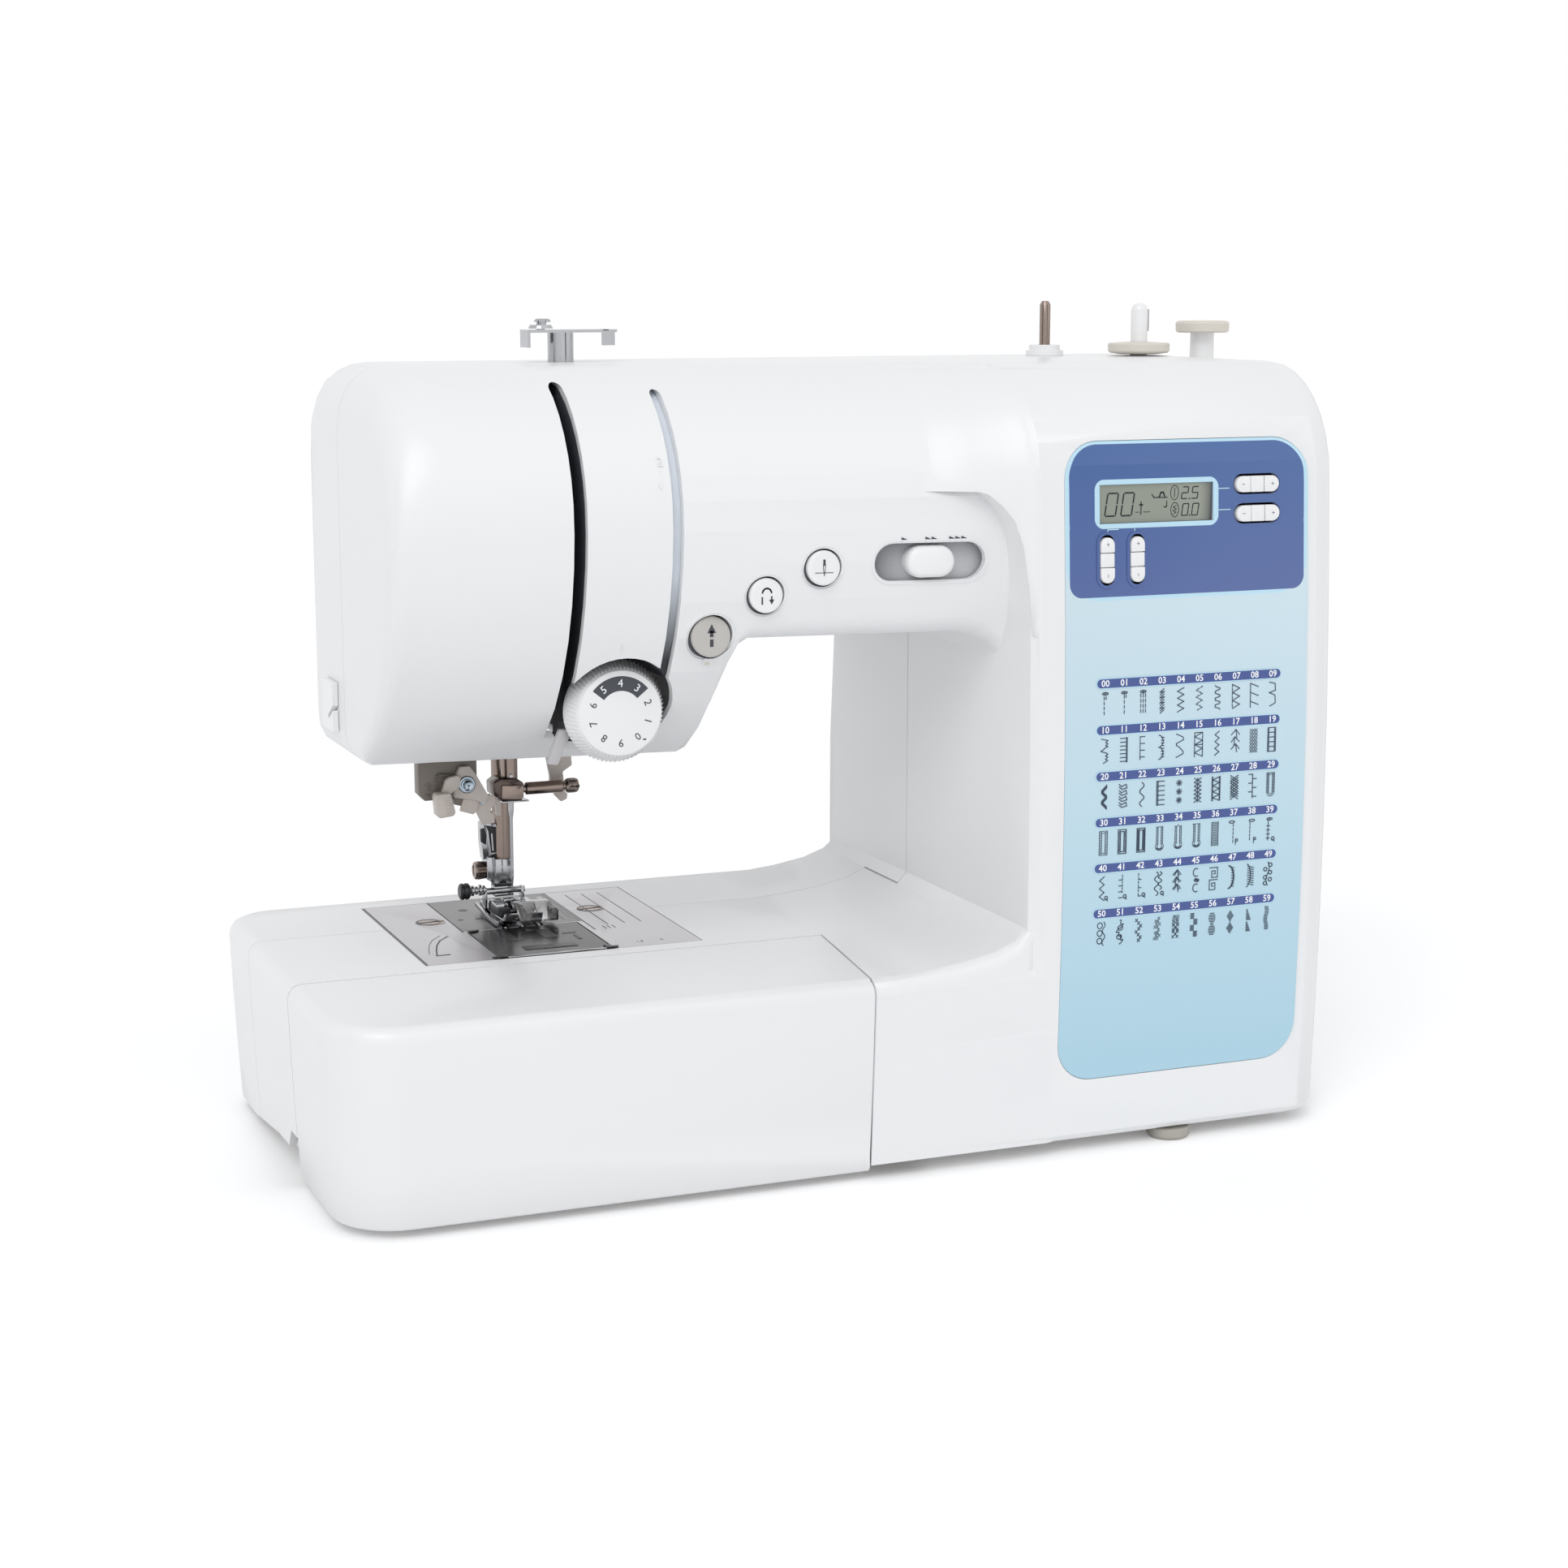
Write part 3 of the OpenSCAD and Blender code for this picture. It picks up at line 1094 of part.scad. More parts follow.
power_sockets();
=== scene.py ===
"""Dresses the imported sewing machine: covers, printed panel, controls, needle area, top fittings and stage."""

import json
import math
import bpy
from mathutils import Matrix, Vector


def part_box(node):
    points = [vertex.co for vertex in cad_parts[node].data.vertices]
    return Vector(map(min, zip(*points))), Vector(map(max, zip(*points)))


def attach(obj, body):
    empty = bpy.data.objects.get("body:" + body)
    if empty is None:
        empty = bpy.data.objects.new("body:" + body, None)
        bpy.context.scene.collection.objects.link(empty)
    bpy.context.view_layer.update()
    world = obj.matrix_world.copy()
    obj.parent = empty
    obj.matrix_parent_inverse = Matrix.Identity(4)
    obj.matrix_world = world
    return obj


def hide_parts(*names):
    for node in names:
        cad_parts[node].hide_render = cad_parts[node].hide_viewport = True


bl_info = {
    "name": "Household sewing machine",
    "version": (1, 0, 0),
    "blender": (4, 5, 0),
    "location": "View3D > Sidebar > Machine",
    "description": "Builds the visible pieces of a compact household sewing machine",
    "category": "Object",
}

import bmesh
import bpy
from mathutils import Matrix, Vector

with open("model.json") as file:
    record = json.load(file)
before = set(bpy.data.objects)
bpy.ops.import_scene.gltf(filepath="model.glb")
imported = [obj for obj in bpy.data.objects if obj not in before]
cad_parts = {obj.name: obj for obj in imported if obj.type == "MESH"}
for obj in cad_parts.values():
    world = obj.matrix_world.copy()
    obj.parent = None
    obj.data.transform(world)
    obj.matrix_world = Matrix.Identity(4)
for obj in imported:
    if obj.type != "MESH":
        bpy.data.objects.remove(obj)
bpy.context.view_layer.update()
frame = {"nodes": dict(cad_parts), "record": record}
MM = 0.001

# Places and curves that several pieces share, in millimetres in the frame of the model
BED_Z = 69.0
ARM_TOP = 267.0
FRONT = -91.0                                          # foremost point of the column's face
PAD_Z, PAD_LEAN, PAD_R = 110.0, 4.0, 40.0              # height of that point, lean and top radius of the face
ARM_FRONT, ARM_SLOPE, HEAD_LEFT = -49.0, -0.12, -174.5
TOP_R, BELLY_R = 50.0, 90.0                            # radii of the arm's face above and below its middle
PRINT = 0.05                                           # thickness of a print


def pad_y(x, z):
    """Face of the column at height z."""
    bend = ARM_TOP - PAD_R
    if z > bend:
        return FRONT + PAD_LEAN + PAD_R - math.sqrt(max(0, PAD_R**2 - (z - bend) ** 2))
    return FRONT + PAD_LEAN * ((z - PAD_Z) / (bend - PAD_Z)) ** 2


def arm_y(x, z):
    """Face of the arm and the head at x and height z."""
    rise = z - (ARM_TOP - TOP_R)
    radius = TOP_R if rise > 0 else BELLY_R
    return ARM_FRONT + ARM_SLOPE * (x - HEAD_LEFT) + radius - math.sqrt(max(0, radius**2 - rise**2))


# ---------------------------------------------------------------- shapes


def turned(degrees, axis="Z"):
    """Turn about an axis."""
    return Matrix.Rotation(math.radians(degrees), 4, axis)


FACE, RIGHT, LEFT = turned(90, "X"), turned(90, "Y"), turned(-90, "Y")      # where +Z of a shape then looks


def at(x, y, z, turn=None):
    """Matrix that turns a shape and puts it at x, y, z."""
    place = Matrix.Translation((x, y, z))
    return place @ turn if turn else place


def put(bm, x, y, z, turn=None):
    """The same shape, turned and put at its place."""
    bm.transform(at(x, y, z, turn))
    return bm


def join(target, *parts, place=None):
    """Adds shapes to target, at their place."""
    for part in parts:
        if place is not None:
            part.transform(place)
        mesh = bpy.data.meshes.new("part")
        part.to_mesh(mesh)
        part.free()
        target.from_mesh(mesh)
        bpy.data.meshes.remove(mesh)
    return target


def closed(bm):
    """Merges doubles and turns all faces outwards."""
    bmesh.ops.remove_doubles(bm, verts=bm.verts, dist=1e-4)
    bmesh.ops.recalc_face_normals(bm, faces=bm.faces)
    return bm


def soften(bm, width, segments=2, sharper_than=30):
    """Rounds the edges of a shape that are sharper than an angle."""
    limit = math.radians(sharper_than)
    edges = [e for e in bm.edges if len(e.link_faces) == 2 and e.calc_face_angle(0) > limit]
    if edges and width > 0:
        bmesh.ops.bevel(bm, geom=edges, offset=width, offset_type="OFFSET", segments=segments, profile=0.5,
                        affect="EDGES", clamp_overlap=True, material=-1)
    return bm


def block(size, edge=0.0):
    """Box around the origin."""
    bm = bmesh.new()
    bmesh.ops.create_cube(bm, size=1, matrix=Matrix.Diagonal((*size, 1)))
    return soften(bm, edge)


def rod(radius, length, sides=32, edge=0.0):
    """Upright round bar that stands on the origin."""
    bm = bmesh.new()
    bmesh.ops.create_cone(bm, cap_ends=True, segments=sides, radius1=radius, radius2=radius, depth=length,
                          matrix=Matrix.Translation((0, 0, length / 2)))
    return soften(bm, edge, sharper_than=50)


def lathe(profile, sides=48):
    """Turned shape with the profile [(radius, height)] about +Z."""
    bm = bmesh.new()
    ring = [bm.verts.new((r, 0, h)) for r, h in profile]
    edges = [bm.edges.new(pair) for pair in zip(ring, ring[1:])]
    bmesh.ops.spin(bm, geom=ring + edges, cent=(0, 0, 0), axis=(0, 0, 1), angle=2 * math.pi, steps=sides,
                   use_merge=True)
    return closed(bm)


def thickened(bm, thickness):
    """Closed plate over flat faces, thickness upwards."""
    raised = bmesh.ops.extrude_face_region(bm, geom=list(bm.faces), use_keep_orig=True)
    moved = [v for v in raised["geom"] if isinstance(v, bmesh.types.BMVert)]
    bmesh.ops.translate(bm, verts=moved, vec=(0, 0, thickness))
    return closed(bm)


def ring(inner, outer, height, sides=40):
    """Flat ring with square edges."""
    return lathe([(inner, 0), (outer, 0), (outer, height), (inner, height), (inner, 0)], sides)


def plate(outline, thickness=PRINT, edge=0.0):
    """Flat plate over an outline [(x, y)], thickness upwards."""
    bm = bmesh.new()
    bm.faces.new([bm.verts.new((x, y, 0)) for x, y in outline])
    return soften(thickened(bm, thickness), edge, sharper_than=50)


def corner_points(width, height, radius, steps=6):
    """Outline of a rectangle with round corners."""
    points = []
    for sx, sy, start in ((1, 1, 0), (-1, 1, 90), (-1, -1, 180), (1, -1, 270)):
        for i in range(steps + 1):
            a = math.radians(start + 90 * i / steps)
            points.append((sx * (width / 2 - radius) + radius * math.cos(a),
                           sy * (height / 2 - radius) + radius * math.sin(a)))
    return points


def pill(width, height, thickness, radius=None, edge=0.0, steps=6):
    """Plate with round corners, or round ends where no radius is given."""
    radius = min(width, height) / 2 - 1e-3 if radius is None else radius
    return plate(corner_points(width, height, radius, steps), thickness, edge)


def frame_plate(width, height, radius, rim, thickness):
    """Rectangular ring with round corners."""
    bm = bmesh.new()
    sizes = ((width, height, radius), (width - 2 * rim, height - 2 * rim, max(radius - rim, 0.2)))
    loops = [[bm.verts.new((x, y, 0)) for x, y in corner_points(*size)] for size in sizes]
    for (a, b), (d, c) in zip(*[zip(loop, loop[1:] + loop[:1]) for loop in loops]):
        bm.faces.new((a, b, c, d))
    return thickened(bm, thickness)


def stroke(bm, points, width, thickness=PRINT):
    """Ink line through points [(x, y)] on the XY plane."""
    for (x0, y0), (x1, y1) in zip(points, points[1:]):
        length = math.hypot(x1 - x0, y1 - y0)
        if length > 1e-6:
            turn = turned(math.degrees(math.atan2(y1 - y0, x1 - x0)))
            place = at((x0 + x1) / 2, (y0 + y1) / 2, thickness / 2, turn)
            join(bm, block((length + width, width, thickness)), place=place)


def lettering(words, size, thickness, bold=0.0):
    """Plain sans lettering around the origin, on the XY plane."""
    curve = bpy.data.curves.new("lettering", "FONT")
    curve.body, curve.size, curve.resolution_u = words, size, 2
    curve.align_x = curve.align_y = "CENTER"
    curve.extrude, curve.offset = thickness / 2, bold
    holder = bpy.data.objects.new("holder", curve)
    bpy.context.scene.collection.objects.link(holder)
    bpy.context.view_layer.update()
    mesh = bpy.data.meshes.new_from_object(holder.evaluated_get(bpy.context.evaluated_depsgraph_get()))
    bm = bmesh.new()
    bm.from_mesh(mesh)
    bpy.data.objects.remove(holder)
    bpy.data.curves.remove(curve)
    bpy.data.meshes.remove(mesh)
    bmesh.ops.remove_doubles(bm, verts=bm.verts, dist=1e-4)
    return put(bm, 0, 0, thickness / 2)


def piece(name, bm, material, body, slot, replaces=(), smooth=35):
    """Makes the finished object from a shape in millimetres, and lets it ride on its body."""
    bmesh.ops.scale(bm, vec=(MM, MM, MM), verts=bm.verts)
    mesh = bpy.data.meshes.new(name)
    bm.to_mesh(mesh)
    bm.free()
    mesh.materials.append(LOOK[material])
    if smooth:
        mesh.shade_smooth()
        mesh.set_sharp_from_angle(angle=math.radians(smooth))
    item = bpy.data.objects.new(name, mesh)
    bpy.context.scene.collection.objects.link(item)
    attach(item, body)
    if replaces:
        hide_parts(*replaces)
    return item


def dressed(node, name, material, edge):
    """Copy of a CAD node with joined faces and softened edges, which stands for the node."""
    bm = bmesh.new()
    bm.from_mesh(frame["nodes"][node].data)
    bmesh.ops.scale(bm, vec=(1 / MM,) * 3, verts=bm.verts)
    bmesh.ops.remove_doubles(bm, verts=bm.verts, dist=2e-3)
    bmesh.ops.dissolve_limit(bm, angle_limit=math.radians(0.4), verts=bm.verts, edges=bm.edges,
                             delimit={"NORMAL"})
    bevel = piece(name, bm, material, *of_node(node), (node,)).modifiers.new("edge", "BEVEL")
    bevel.width, bevel.segments, bevel.limit_method = edge * MM, 2, "ANGLE"
    bevel.angle_limit = math.radians(40)
    bevel.harden_normals = True


def of_node(node):
    """Body and slot of a CAD node."""
    record = frame["record"]
    body = next(b for b, nodes in record["behaviour"]["bodies"].items() if node in nodes)
    return body, next(s["material_slot"] for s in record["subparts"] if s["node"] == node)


def own(node, bm, material, smooth=35, ending="_part"):
    """Finished piece that stands for a CAD node."""
    piece(node + ending, bm, material, *of_node(node), (node,), smooth)


def extra(name, node, bm, material, smooth=35):
    """Finished piece that rides with a CAD node."""
    piece(name, bm, material, *of_node(node), smooth=smooth)


def prints(name, node, bm, material):
    """Flat print or mark that rides with a CAD node."""
    extra(name, node, bm, material, 0)


def slab(outline, back, front, edge=0.0):
    """Upright plate over an outline [(x, z)] between two depths."""
    return put(plate(outline, back - front, edge), 0, back, 0, FACE)


def side_slab(outline, left, right, edge=0.0):
    """Upright plate over an outline [(y, z)] between two places along X."""
    bm = plate(outline, right - left, edge)
    bm.transform(Matrix(((0, 0, 1, left), (1, 0, 0, 0), (0, 1, 0, 0), (0, 0, 0, 1))))
    return bm


def group_of(*shapes):
    """One shape of several."""
    return join(bmesh.new(), *shapes)


def box_between(low, high, edge=0.0):
    """Box between two corners."""
    bm = block([b - a for a, b in zip(low, high)], edge)
    return put(bm, *[(a + b) / 2 for a, b in zip(low, high)])


# ---------------------------------------------------------------- finishes


def node(tree, kind, inputs=None, **settings):
    """Adds a shader node, with its settings and its inputs as values or sockets."""
    item = tree.nodes.new("ShaderNode" + kind)
    for key, value in settings.items():
        setattr(item, key, value)
    for key, value in (inputs or {}).items():
        if isinstance(value, bpy.types.NodeSocket):
            tree.links.new(value, item.inputs[key])
        else:
            item.inputs[key].default_value = value
    return item


def maths(tree, operation, a, b=0.0, clamp=False):
    """Result of one sum."""
    return node(tree, "Math", {0: a, 1: b}, operation=operation, use_clamp=clamp).outputs[0]


def mixed(tree, factor, a, b):
    """Colour between a and b."""
    item = node(tree, "Mix", {"Factor": factor}, data_type="RGBA")
    for socket, value in ((item.inputs[6], a), (item.inputs[7], b)):
        if isinstance(value, bpy.types.NodeSocket):
            tree.links.new(value, socket)
        else:
            socket.default_value = (*value, 1)
    return item.outputs[2]


def ramp(tree, value, low, high):
    """Rises from 0 to 1 while value goes from low to high."""
    return node(tree, "MapRange", {"Value": value, "From Min": low, "From Max": high}).outputs[0]


def seen_white(tree):
    """1 for what the camera, reflections and glass show, and 0 for light on the object."""
    rays = node(tree, "LightPath").outputs
    return maths(tree, "MAXIMUM", rays["Is Camera Ray"],
                 maths(tree, "MAXIMUM", rays["Is Glossy Ray"], rays["Is Transmission Ray"]))


def group(name, inputs, outputs, fill):
    """Node group with named inputs (name, kind, value) and outputs (name, kind), made once."""
    if name in bpy.data.node_groups:
        return bpy.data.node_groups[name]
    tree = bpy.data.node_groups.new(name, "ShaderNodeTree")
    for label, kind, value in inputs:
        socket = tree.interface.new_socket(label, in_out="INPUT", socket_type="NodeSocket" + kind)
        socket.default_value = value
    for label, kind in outputs:
        tree.interface.new_socket(label, in_out="OUTPUT", socket_type="NodeSocket" + kind)
    given = tree.nodes.new("NodeGroupInput").outputs
    result = fill(tree, given)
    end = tree.nodes.new("NodeGroupOutput")
    for label, socket in result.items():
        tree.links.new(socket, end.inputs[label])
    return tree


def noise(tree, vector, scale, detail=2.0, rough=0.5):
    """Even noise between 0 and 1."""
    values = {"Vector": vector, "Scale": scale, "Detail": detail, "Roughness": rough}
    return node(tree, "TexNoise", values).outputs[0]


def swing(tree, value, amount):
    """Even value between 0 and 1, made to swing around 0 by an amount."""
    return maths(tree, "MULTIPLY", maths(tree, "SUBTRACT", value, 0.5), amount)


def toned(tree, given, value):
    """Given colour, lighter and darker with a value."""
    level = maths(tree, "ADD", swing(tree, value, given["Tone"]), 1.0)
    return node(tree, "VectorMath", {0: given["Color"], 1: level}, operation="MULTIPLY").outputs[0]


def moulded_fill(tree, given):
    """Plastic: cloudy tone, fine grain and uneven gloss."""
    place = node(tree, "TexCoord").outputs["Object"]
    gloss = swing(tree, noise(tree, place, 70.0, 3.0), given["Unevenness"])
    return {"Color": toned(tree, given, noise(tree, place, 11.0)),
            "Roughness": maths(tree, "ADD", given["Roughness"], gloss, True),
            "Height": noise(tree, place, given["Grain Scale"], 3.0, 0.6)}


def worked_fill(tree, given):
    """Metal: lines along one direction, uneven gloss and a little tone."""
    place = node(tree, "TexCoord").outputs["Object"]
    drawn = node(tree, "VectorMath", {0: place, 1: given["Direction"]}, operation="MULTIPLY").outputs[0]
    lines = noise(tree, drawn, given["Grain Scale"], 4.0, 0.7)
    gloss = maths(tree, "ADD", swing(tree, lines, given["Unevenness"]),
                  swing(tree, noise(tree, place, 26.0), given["Unevenness"]))
    return {"Color": toned(tree, given, lines), "Height": lines,
            "Roughness": maths(tree, "ADD", given["Roughness"], gloss, True)}


def rounded_fill(tree, given):
    """Signed distance to a rectangle with round corners on the XZ plane, in millimetres."""
    place = node(tree, "SeparateXYZ", {0: node(tree, "TexCoord").outputs["Object"]}).outputs
    sides = []
    for axis, middle, half in (("X", "Middle X", "Half Width"), ("Z", "Middle Z", "Half Height")):
        offset = maths(tree, "SUBTRACT", maths(tree, "MULTIPLY", place[axis], 1000.0), given[middle])
        inner = maths(tree, "SUBTRACT", given[half], given["Radius"])
        sides.append(maths(tree, "SUBTRACT", maths(tree, "ABSOLUTE", offset), inner))
    outer = [maths(tree, "MAXIMUM", side, 0.0) for side in sides]
    corner = maths(tree, "SQRT", maths(tree, "ADD", maths(tree, "MULTIPLY", outer[0], outer[0]),
                                       maths(tree, "MULTIPLY", outer[1], outer[1])))
    inside = maths(tree, "MINIMUM", maths(tree, "MAXIMUM", sides[0], sides[1]), 0.0)
    return {"Distance": maths(tree, "SUBTRACT", maths(tree, "ADD", corner, inside), given["Radius"])}


SURFACE = [("Color", "Color", (0.8, 0.8, 0.8, 1)), ("Roughness", "Float", 0.4), ("Tone", "Float", 0.03),
           ("Unevenness", "Float", 0.1), ("Grain Scale", "Float", 900.0)]
RESULT = [("Color", "Color"), ("Roughness", "Float"), ("Height", "Float")]


def surface_group(kind):
    """Node group that a finish is made with."""
    if kind == "worked":
        return group("Worked metal", SURFACE + [("Direction", "Vector", (1, 1, 1))], RESULT, worked_fill)
    return group("Moulded plastic", SURFACE, RESULT, moulded_fill)


def field(tree, x0, x1, z0, z1, radius):
    """1 inside a rounded rectangle between x0, x1 and z0, z1, and 0 outside it, with a narrow edge."""
    values = {"Middle X": (x0 + x1) / 2, "Middle Z": (z0 + z1) / 2, "Half Width": (x1 - x0) / 2,
              "Half Height": (z1 - z0) / 2, "Radius": radius}
    shape = group("Rounded field", [(label, "Float", 1.0) for label in values], [("Distance", "Float")],
                  rounded_fill)
    return ramp(tree, node(tree, "Group", values, node_tree=shape).outputs[0], 0.06, -0.06)


def finish(name, colour, roughness=0.4, kind="moulded", tone=0.04, uneven=0.08, scale=900.0, bump=0.05,
           direction=(1, 1, 1), **shader):
    """Procedural material. shader sets the constants of the Principled node."""
    material = bpy.data.materials.new(name)
    material.use_nodes = True
    tree = material.node_tree
    principled = tree.nodes["Principled BSDF"]
    values = {"Color": (*colour, 1), "Roughness": roughness, "Tone": tone, "Unevenness": uneven,
              "Grain Scale": scale}
    if kind == "worked":
        values["Direction"] = direction
    item = node(tree, "Group", values, node_tree=surface_group(kind))
    tree.links.new(item.outputs["Color"], principled.inputs["Base Color"])
    tree.links.new(item.outputs["Roughness"], principled.inputs["Roughness"])
    relief = node(tree, "Bump", {"Height": item.outputs["Height"], "Strength": bump, "Distance": 0.0002})
    tree.links.new(relief.outputs[0], principled.inputs["Normal"])
    for label, value in shader.items():
        principled.inputs[label.replace("_", " ").title().replace("Ior", "IOR")].default_value = value
    return material


def metal(name, colour, roughness, **more):
    """Finish of worked metal."""
    return finish(name, colour, roughness, "worked", **{"metallic": 1.0, **more})


def coloured(material, fill):
    """Gives a finish a colour that changes with X and Z."""
    tree = material.node_tree
    place = node(tree, "SeparateXYZ", {0: node(tree, "TexCoord").outputs["Object"]}).outputs
    tree.links.new(fill(tree, place["X"], place["Z"]), tree.nodes["Group"].inputs["Color"])
    return material


def srgb(*values):
    """Linear colour from display values 0 to 255."""
    shares = [value / 255 for value in values]
    return tuple(v / 12.92 if v <= 0.04045 else ((v + 0.055) / 1.055) ** 2.4 for v in shares)


LOOK = {}


def make_finishes(look):
    """All materials of the machine, from the colours that a user may change."""
    across = (0.05, 1, 1)      # lines of brushed sheets
    LOOK.update(
        shell=finish("White shell", look.shell_colour, 0.36, tone=0.02, bump=0.03, coat_weight=0.15,
                     coat_roughness=0.25),
        trim=finish("White trim", look.trim_colour, 0.3, tone=0.02, bump=0.02, coat_weight=0.2,
                    coat_roughness=0.15),
        beige=finish("Warm grey plastic", look.beige_colour, 0.42, tone=0.06),
        beige_dark=finish("Dark beige plastic", srgb(98, 90, 84), 0.45, tone=0.05),
        pale=finish("Pale warm plastic", srgb(203, 194, 187), 0.38),
        dark=finish("Dark grey plastic", srgb(66, 69, 76), 0.5, tone=0.1, bump=0.06),
        black=finish("Black plastic", srgb(28, 29, 32), 0.38, tone=0.1, bump=0.04),
        smoked=finish("Smoked plastic", srgb(38, 37, 36), 0.2, tone=0.3, uneven=0.12, bump=0.01,
                      specular_ior_level=0.26),
        clear=finish("Clear plastic", srgb(240, 241, 240), 0.06, bump=0.01, transmission_weight=0.9,
                     ior=1.49),
        hook_grey=finish("Light grey plastic", srgb(186, 184, 186)),
        seat=finish("Light beige plastic", srgb(214, 208, 198)),
        grey=finish("Grey button", look.start_colour, tone=0.03),
        rubber=finish("Grey rubber", srgb(170, 166, 158), 0.7, tone=0.1, uneven=0.12, bump=0.12),
        band=finish("Belt rubber", srgb(32, 32, 34), 0.75, tone=0.12, uneven=0.14, bump=0.2),
        motor=finish("Motor paint", srgb(46, 48, 52), 0.45, tone=0.1, bump=0.2),
        board=finish("Circuit board", srgb(36, 92, 58), tone=0.2, uneven=0.15, bump=0.1),
        lens=finish("Lamp lens", srgb(250, 246, 232), 0.3, bump=0.08, transmission_weight=0.3),
        segment=finish("Display segment", srgb(30, 36, 38), 0.35, tone=0.05, bump=0.01),
        ink=finish("Dark print", srgb(60, 62, 70), 0.5, tone=0.02, bump=0.02),
        blue_ink=finish("Blue print", look.print_colour, tone=0.03, bump=0.02),
        icon_ink=finish("Stitch print", srgb(52, 68, 88), 0.45, tone=0.02, bump=0.02),
        white_ink=finish("White print", srgb(246, 248, 250), 0.45, tone=0.01, bump=0.02),
        pale_ink=finish("Pale blue print", srgb(186, 221, 238), 0.45, tone=0.02, bump=0.02),
        chrome=metal("Polished steel", srgb(178, 179, 182), 0.13, tone=0.12, uneven=0.06, bump=0.02,
                     scale=500.0),
        bronze=metal("Nickelled steel", srgb(146, 132, 124), 0.2, tone=0.1, uneven=0.1, bump=0.04,
                     direction=(1, 1, 0.12)),
        # Shaded copy of the nickelled steel: painted shade on the body of the needle clamp and in the grooves
        # of the foot screw's knurl
        bronze_dark=metal("Nickelled steel in painted shade", srgb(92, 82, 78), 0.22, tone=0.1, bump=0.04, scale=800.0),
        steel_blue=metal("Zinc screw", srgb(178, 192, 204), 0.2, tone=0.08),
        brushed=metal("Brushed plate", srgb(192, 190, 193), 0.34, tone=0.1, uneven=0.12, bump=0.1,
                      direction=across, scale=1500.0),
        inlay=metal("Steel inlay", srgb(114, 113, 114), 0.3, tone=0.16, uneven=0.12, bump=0.1,
                    direction=across, scale=1300.0),
        cast=metal("Cast alloy", srgb(150, 152, 156), 0.5, tone=0.16, uneven=0.2, bump=0.5, scale=700.0,
                   metallic=0.8),
        brass=metal("Bush brass", srgb(190, 150, 84), 0.32, tone=0.15, uneven=0.12),
        panel=panel_finish(look), glass=glass_finish(look), recess=recess_finish(), slots=slot_finish(),
    )


def panel_finish(look):
    """Printed sheet: pale blue that deepens downwards, with the dark field and its pale border."""
    def fill(tree, _, z):
        pale = srgb(187, 222, 239)
        sheet = mixed(tree, ramp(tree, z, 0.03, 0.19), look.panel_low_colour, look.panel_high_colour)
        dark = mixed(tree, ramp(tree, z, 0.19, 0.24), look.field_low_colour, look.field_high_colour)
        border = maths(tree, "MULTIPLY", field(tree, 41.9, 134.1, 190.2, 244.0, 12.4),
                       maths(tree, "GREATER_THAN", z, 0.1902))
        inner = maths(tree, "MAXIMUM", field(tree, 43.2, 132.8, 191.4, 218.0, 4.6),
                      field(tree, 43.2, 132.8, 205.0, 241.5, 11.2))
        colour = mixed(tree, inner, mixed(tree, border, sheet, pale), dark)
        return mixed(tree, field(tree, 52.6, 99.4, 213.9, 230.0, 3.4), colour, pale)

    return coloured(finish("Printed panel", srgb(196, 217, 230), 0.32, tone=0.015, uneven=0.05, bump=0.02,
                           coat_weight=0.3, coat_roughness=0.12), fill)


def glass_finish(look):
    """Display glass with the shadow of its frame at the right end."""
    def fill(tree, x, _):
        dark = maths(tree, "POWER", ramp(tree, x, 0.092, 0.0975), 1.6)
        return mixed(tree, dark, look.glass_colour, srgb(84, 84, 84))

    return coloured(finish("Display glass", look.glass_colour, 0.2, tone=0.03, uneven=0.04, bump=0.01,
                           coat_weight=0.5, coat_roughness=0.05), fill)


def recess_finish():
    """Floor of the slider's window, with painted shade that darkens it towards its left end."""
    def fill(tree, x, _):
        # painted shade, darkest at the left end of the window
        return mixed(tree, ramp(tree, x, -0.018, -0.002), srgb(122, 123, 128), srgb(196, 196, 200))

    return coloured(finish("Slider window", srgb(190, 190, 194), 0.45), fill)


def slot_finish():
    """Floor of the thread slots: painted shade makes it dark on the left and darker low down, and painted light
    makes the upper part of the right slot pale.
    """
    def fill(tree, x, z):
        # pale: painted light falling into the upper part of the right slot
        pale = maths(tree, "MULTIPLY", maths(tree, "GREATER_THAN", x, -0.0985), ramp(tree, z, 0.172, 0.2))
        # shade: painted shade, darker towards the foot of the slots
        shade = mixed(tree, ramp(tree, z, 0.165, 0.2), srgb(38, 39, 44), srgb(74, 77, 84))
        return mixed(tree, pale, shade, srgb(214, 220, 228))

    return coloured(finish("Slot floor", srgb(60, 62, 68), 0.5, tone=0.1), fill)


# ---------------------------------------------------------------- draped prints


def lay(bm, surface, lift=0.0, x=0.0, z=0.0):
    """Lays a shape drawn on the XY plane onto a face of the housing, with its origin at x, z."""
    for vert in bm.verts:
        u, v, rise = vert.co
        vert.co = (x + u, surface(x + u, z + v) - lift - rise, z + v)
    return bm


def draw(bm, lines, x, z, wide, tall, width, thickness=PRINT):
    """Draws the lines of a cell, which go from -1 to 1, around x, z."""
    for points in lines:
        stroke(bm, [(x + wide * u, z + tall * v) for u, v in points], width, thickness)


def on_panel(x, z):
    """Face of the printed panel."""
    return pad_y(x, z) + 0.15


def zig(count, width=1.0, side=1, middle=0.0, top=1.0, low=-1.0):
    """Zigzag line down a cell."""
    return [(middle + side * width * (-1) ** i, top + (low - top) * i / count) for i in range(count + 1)]


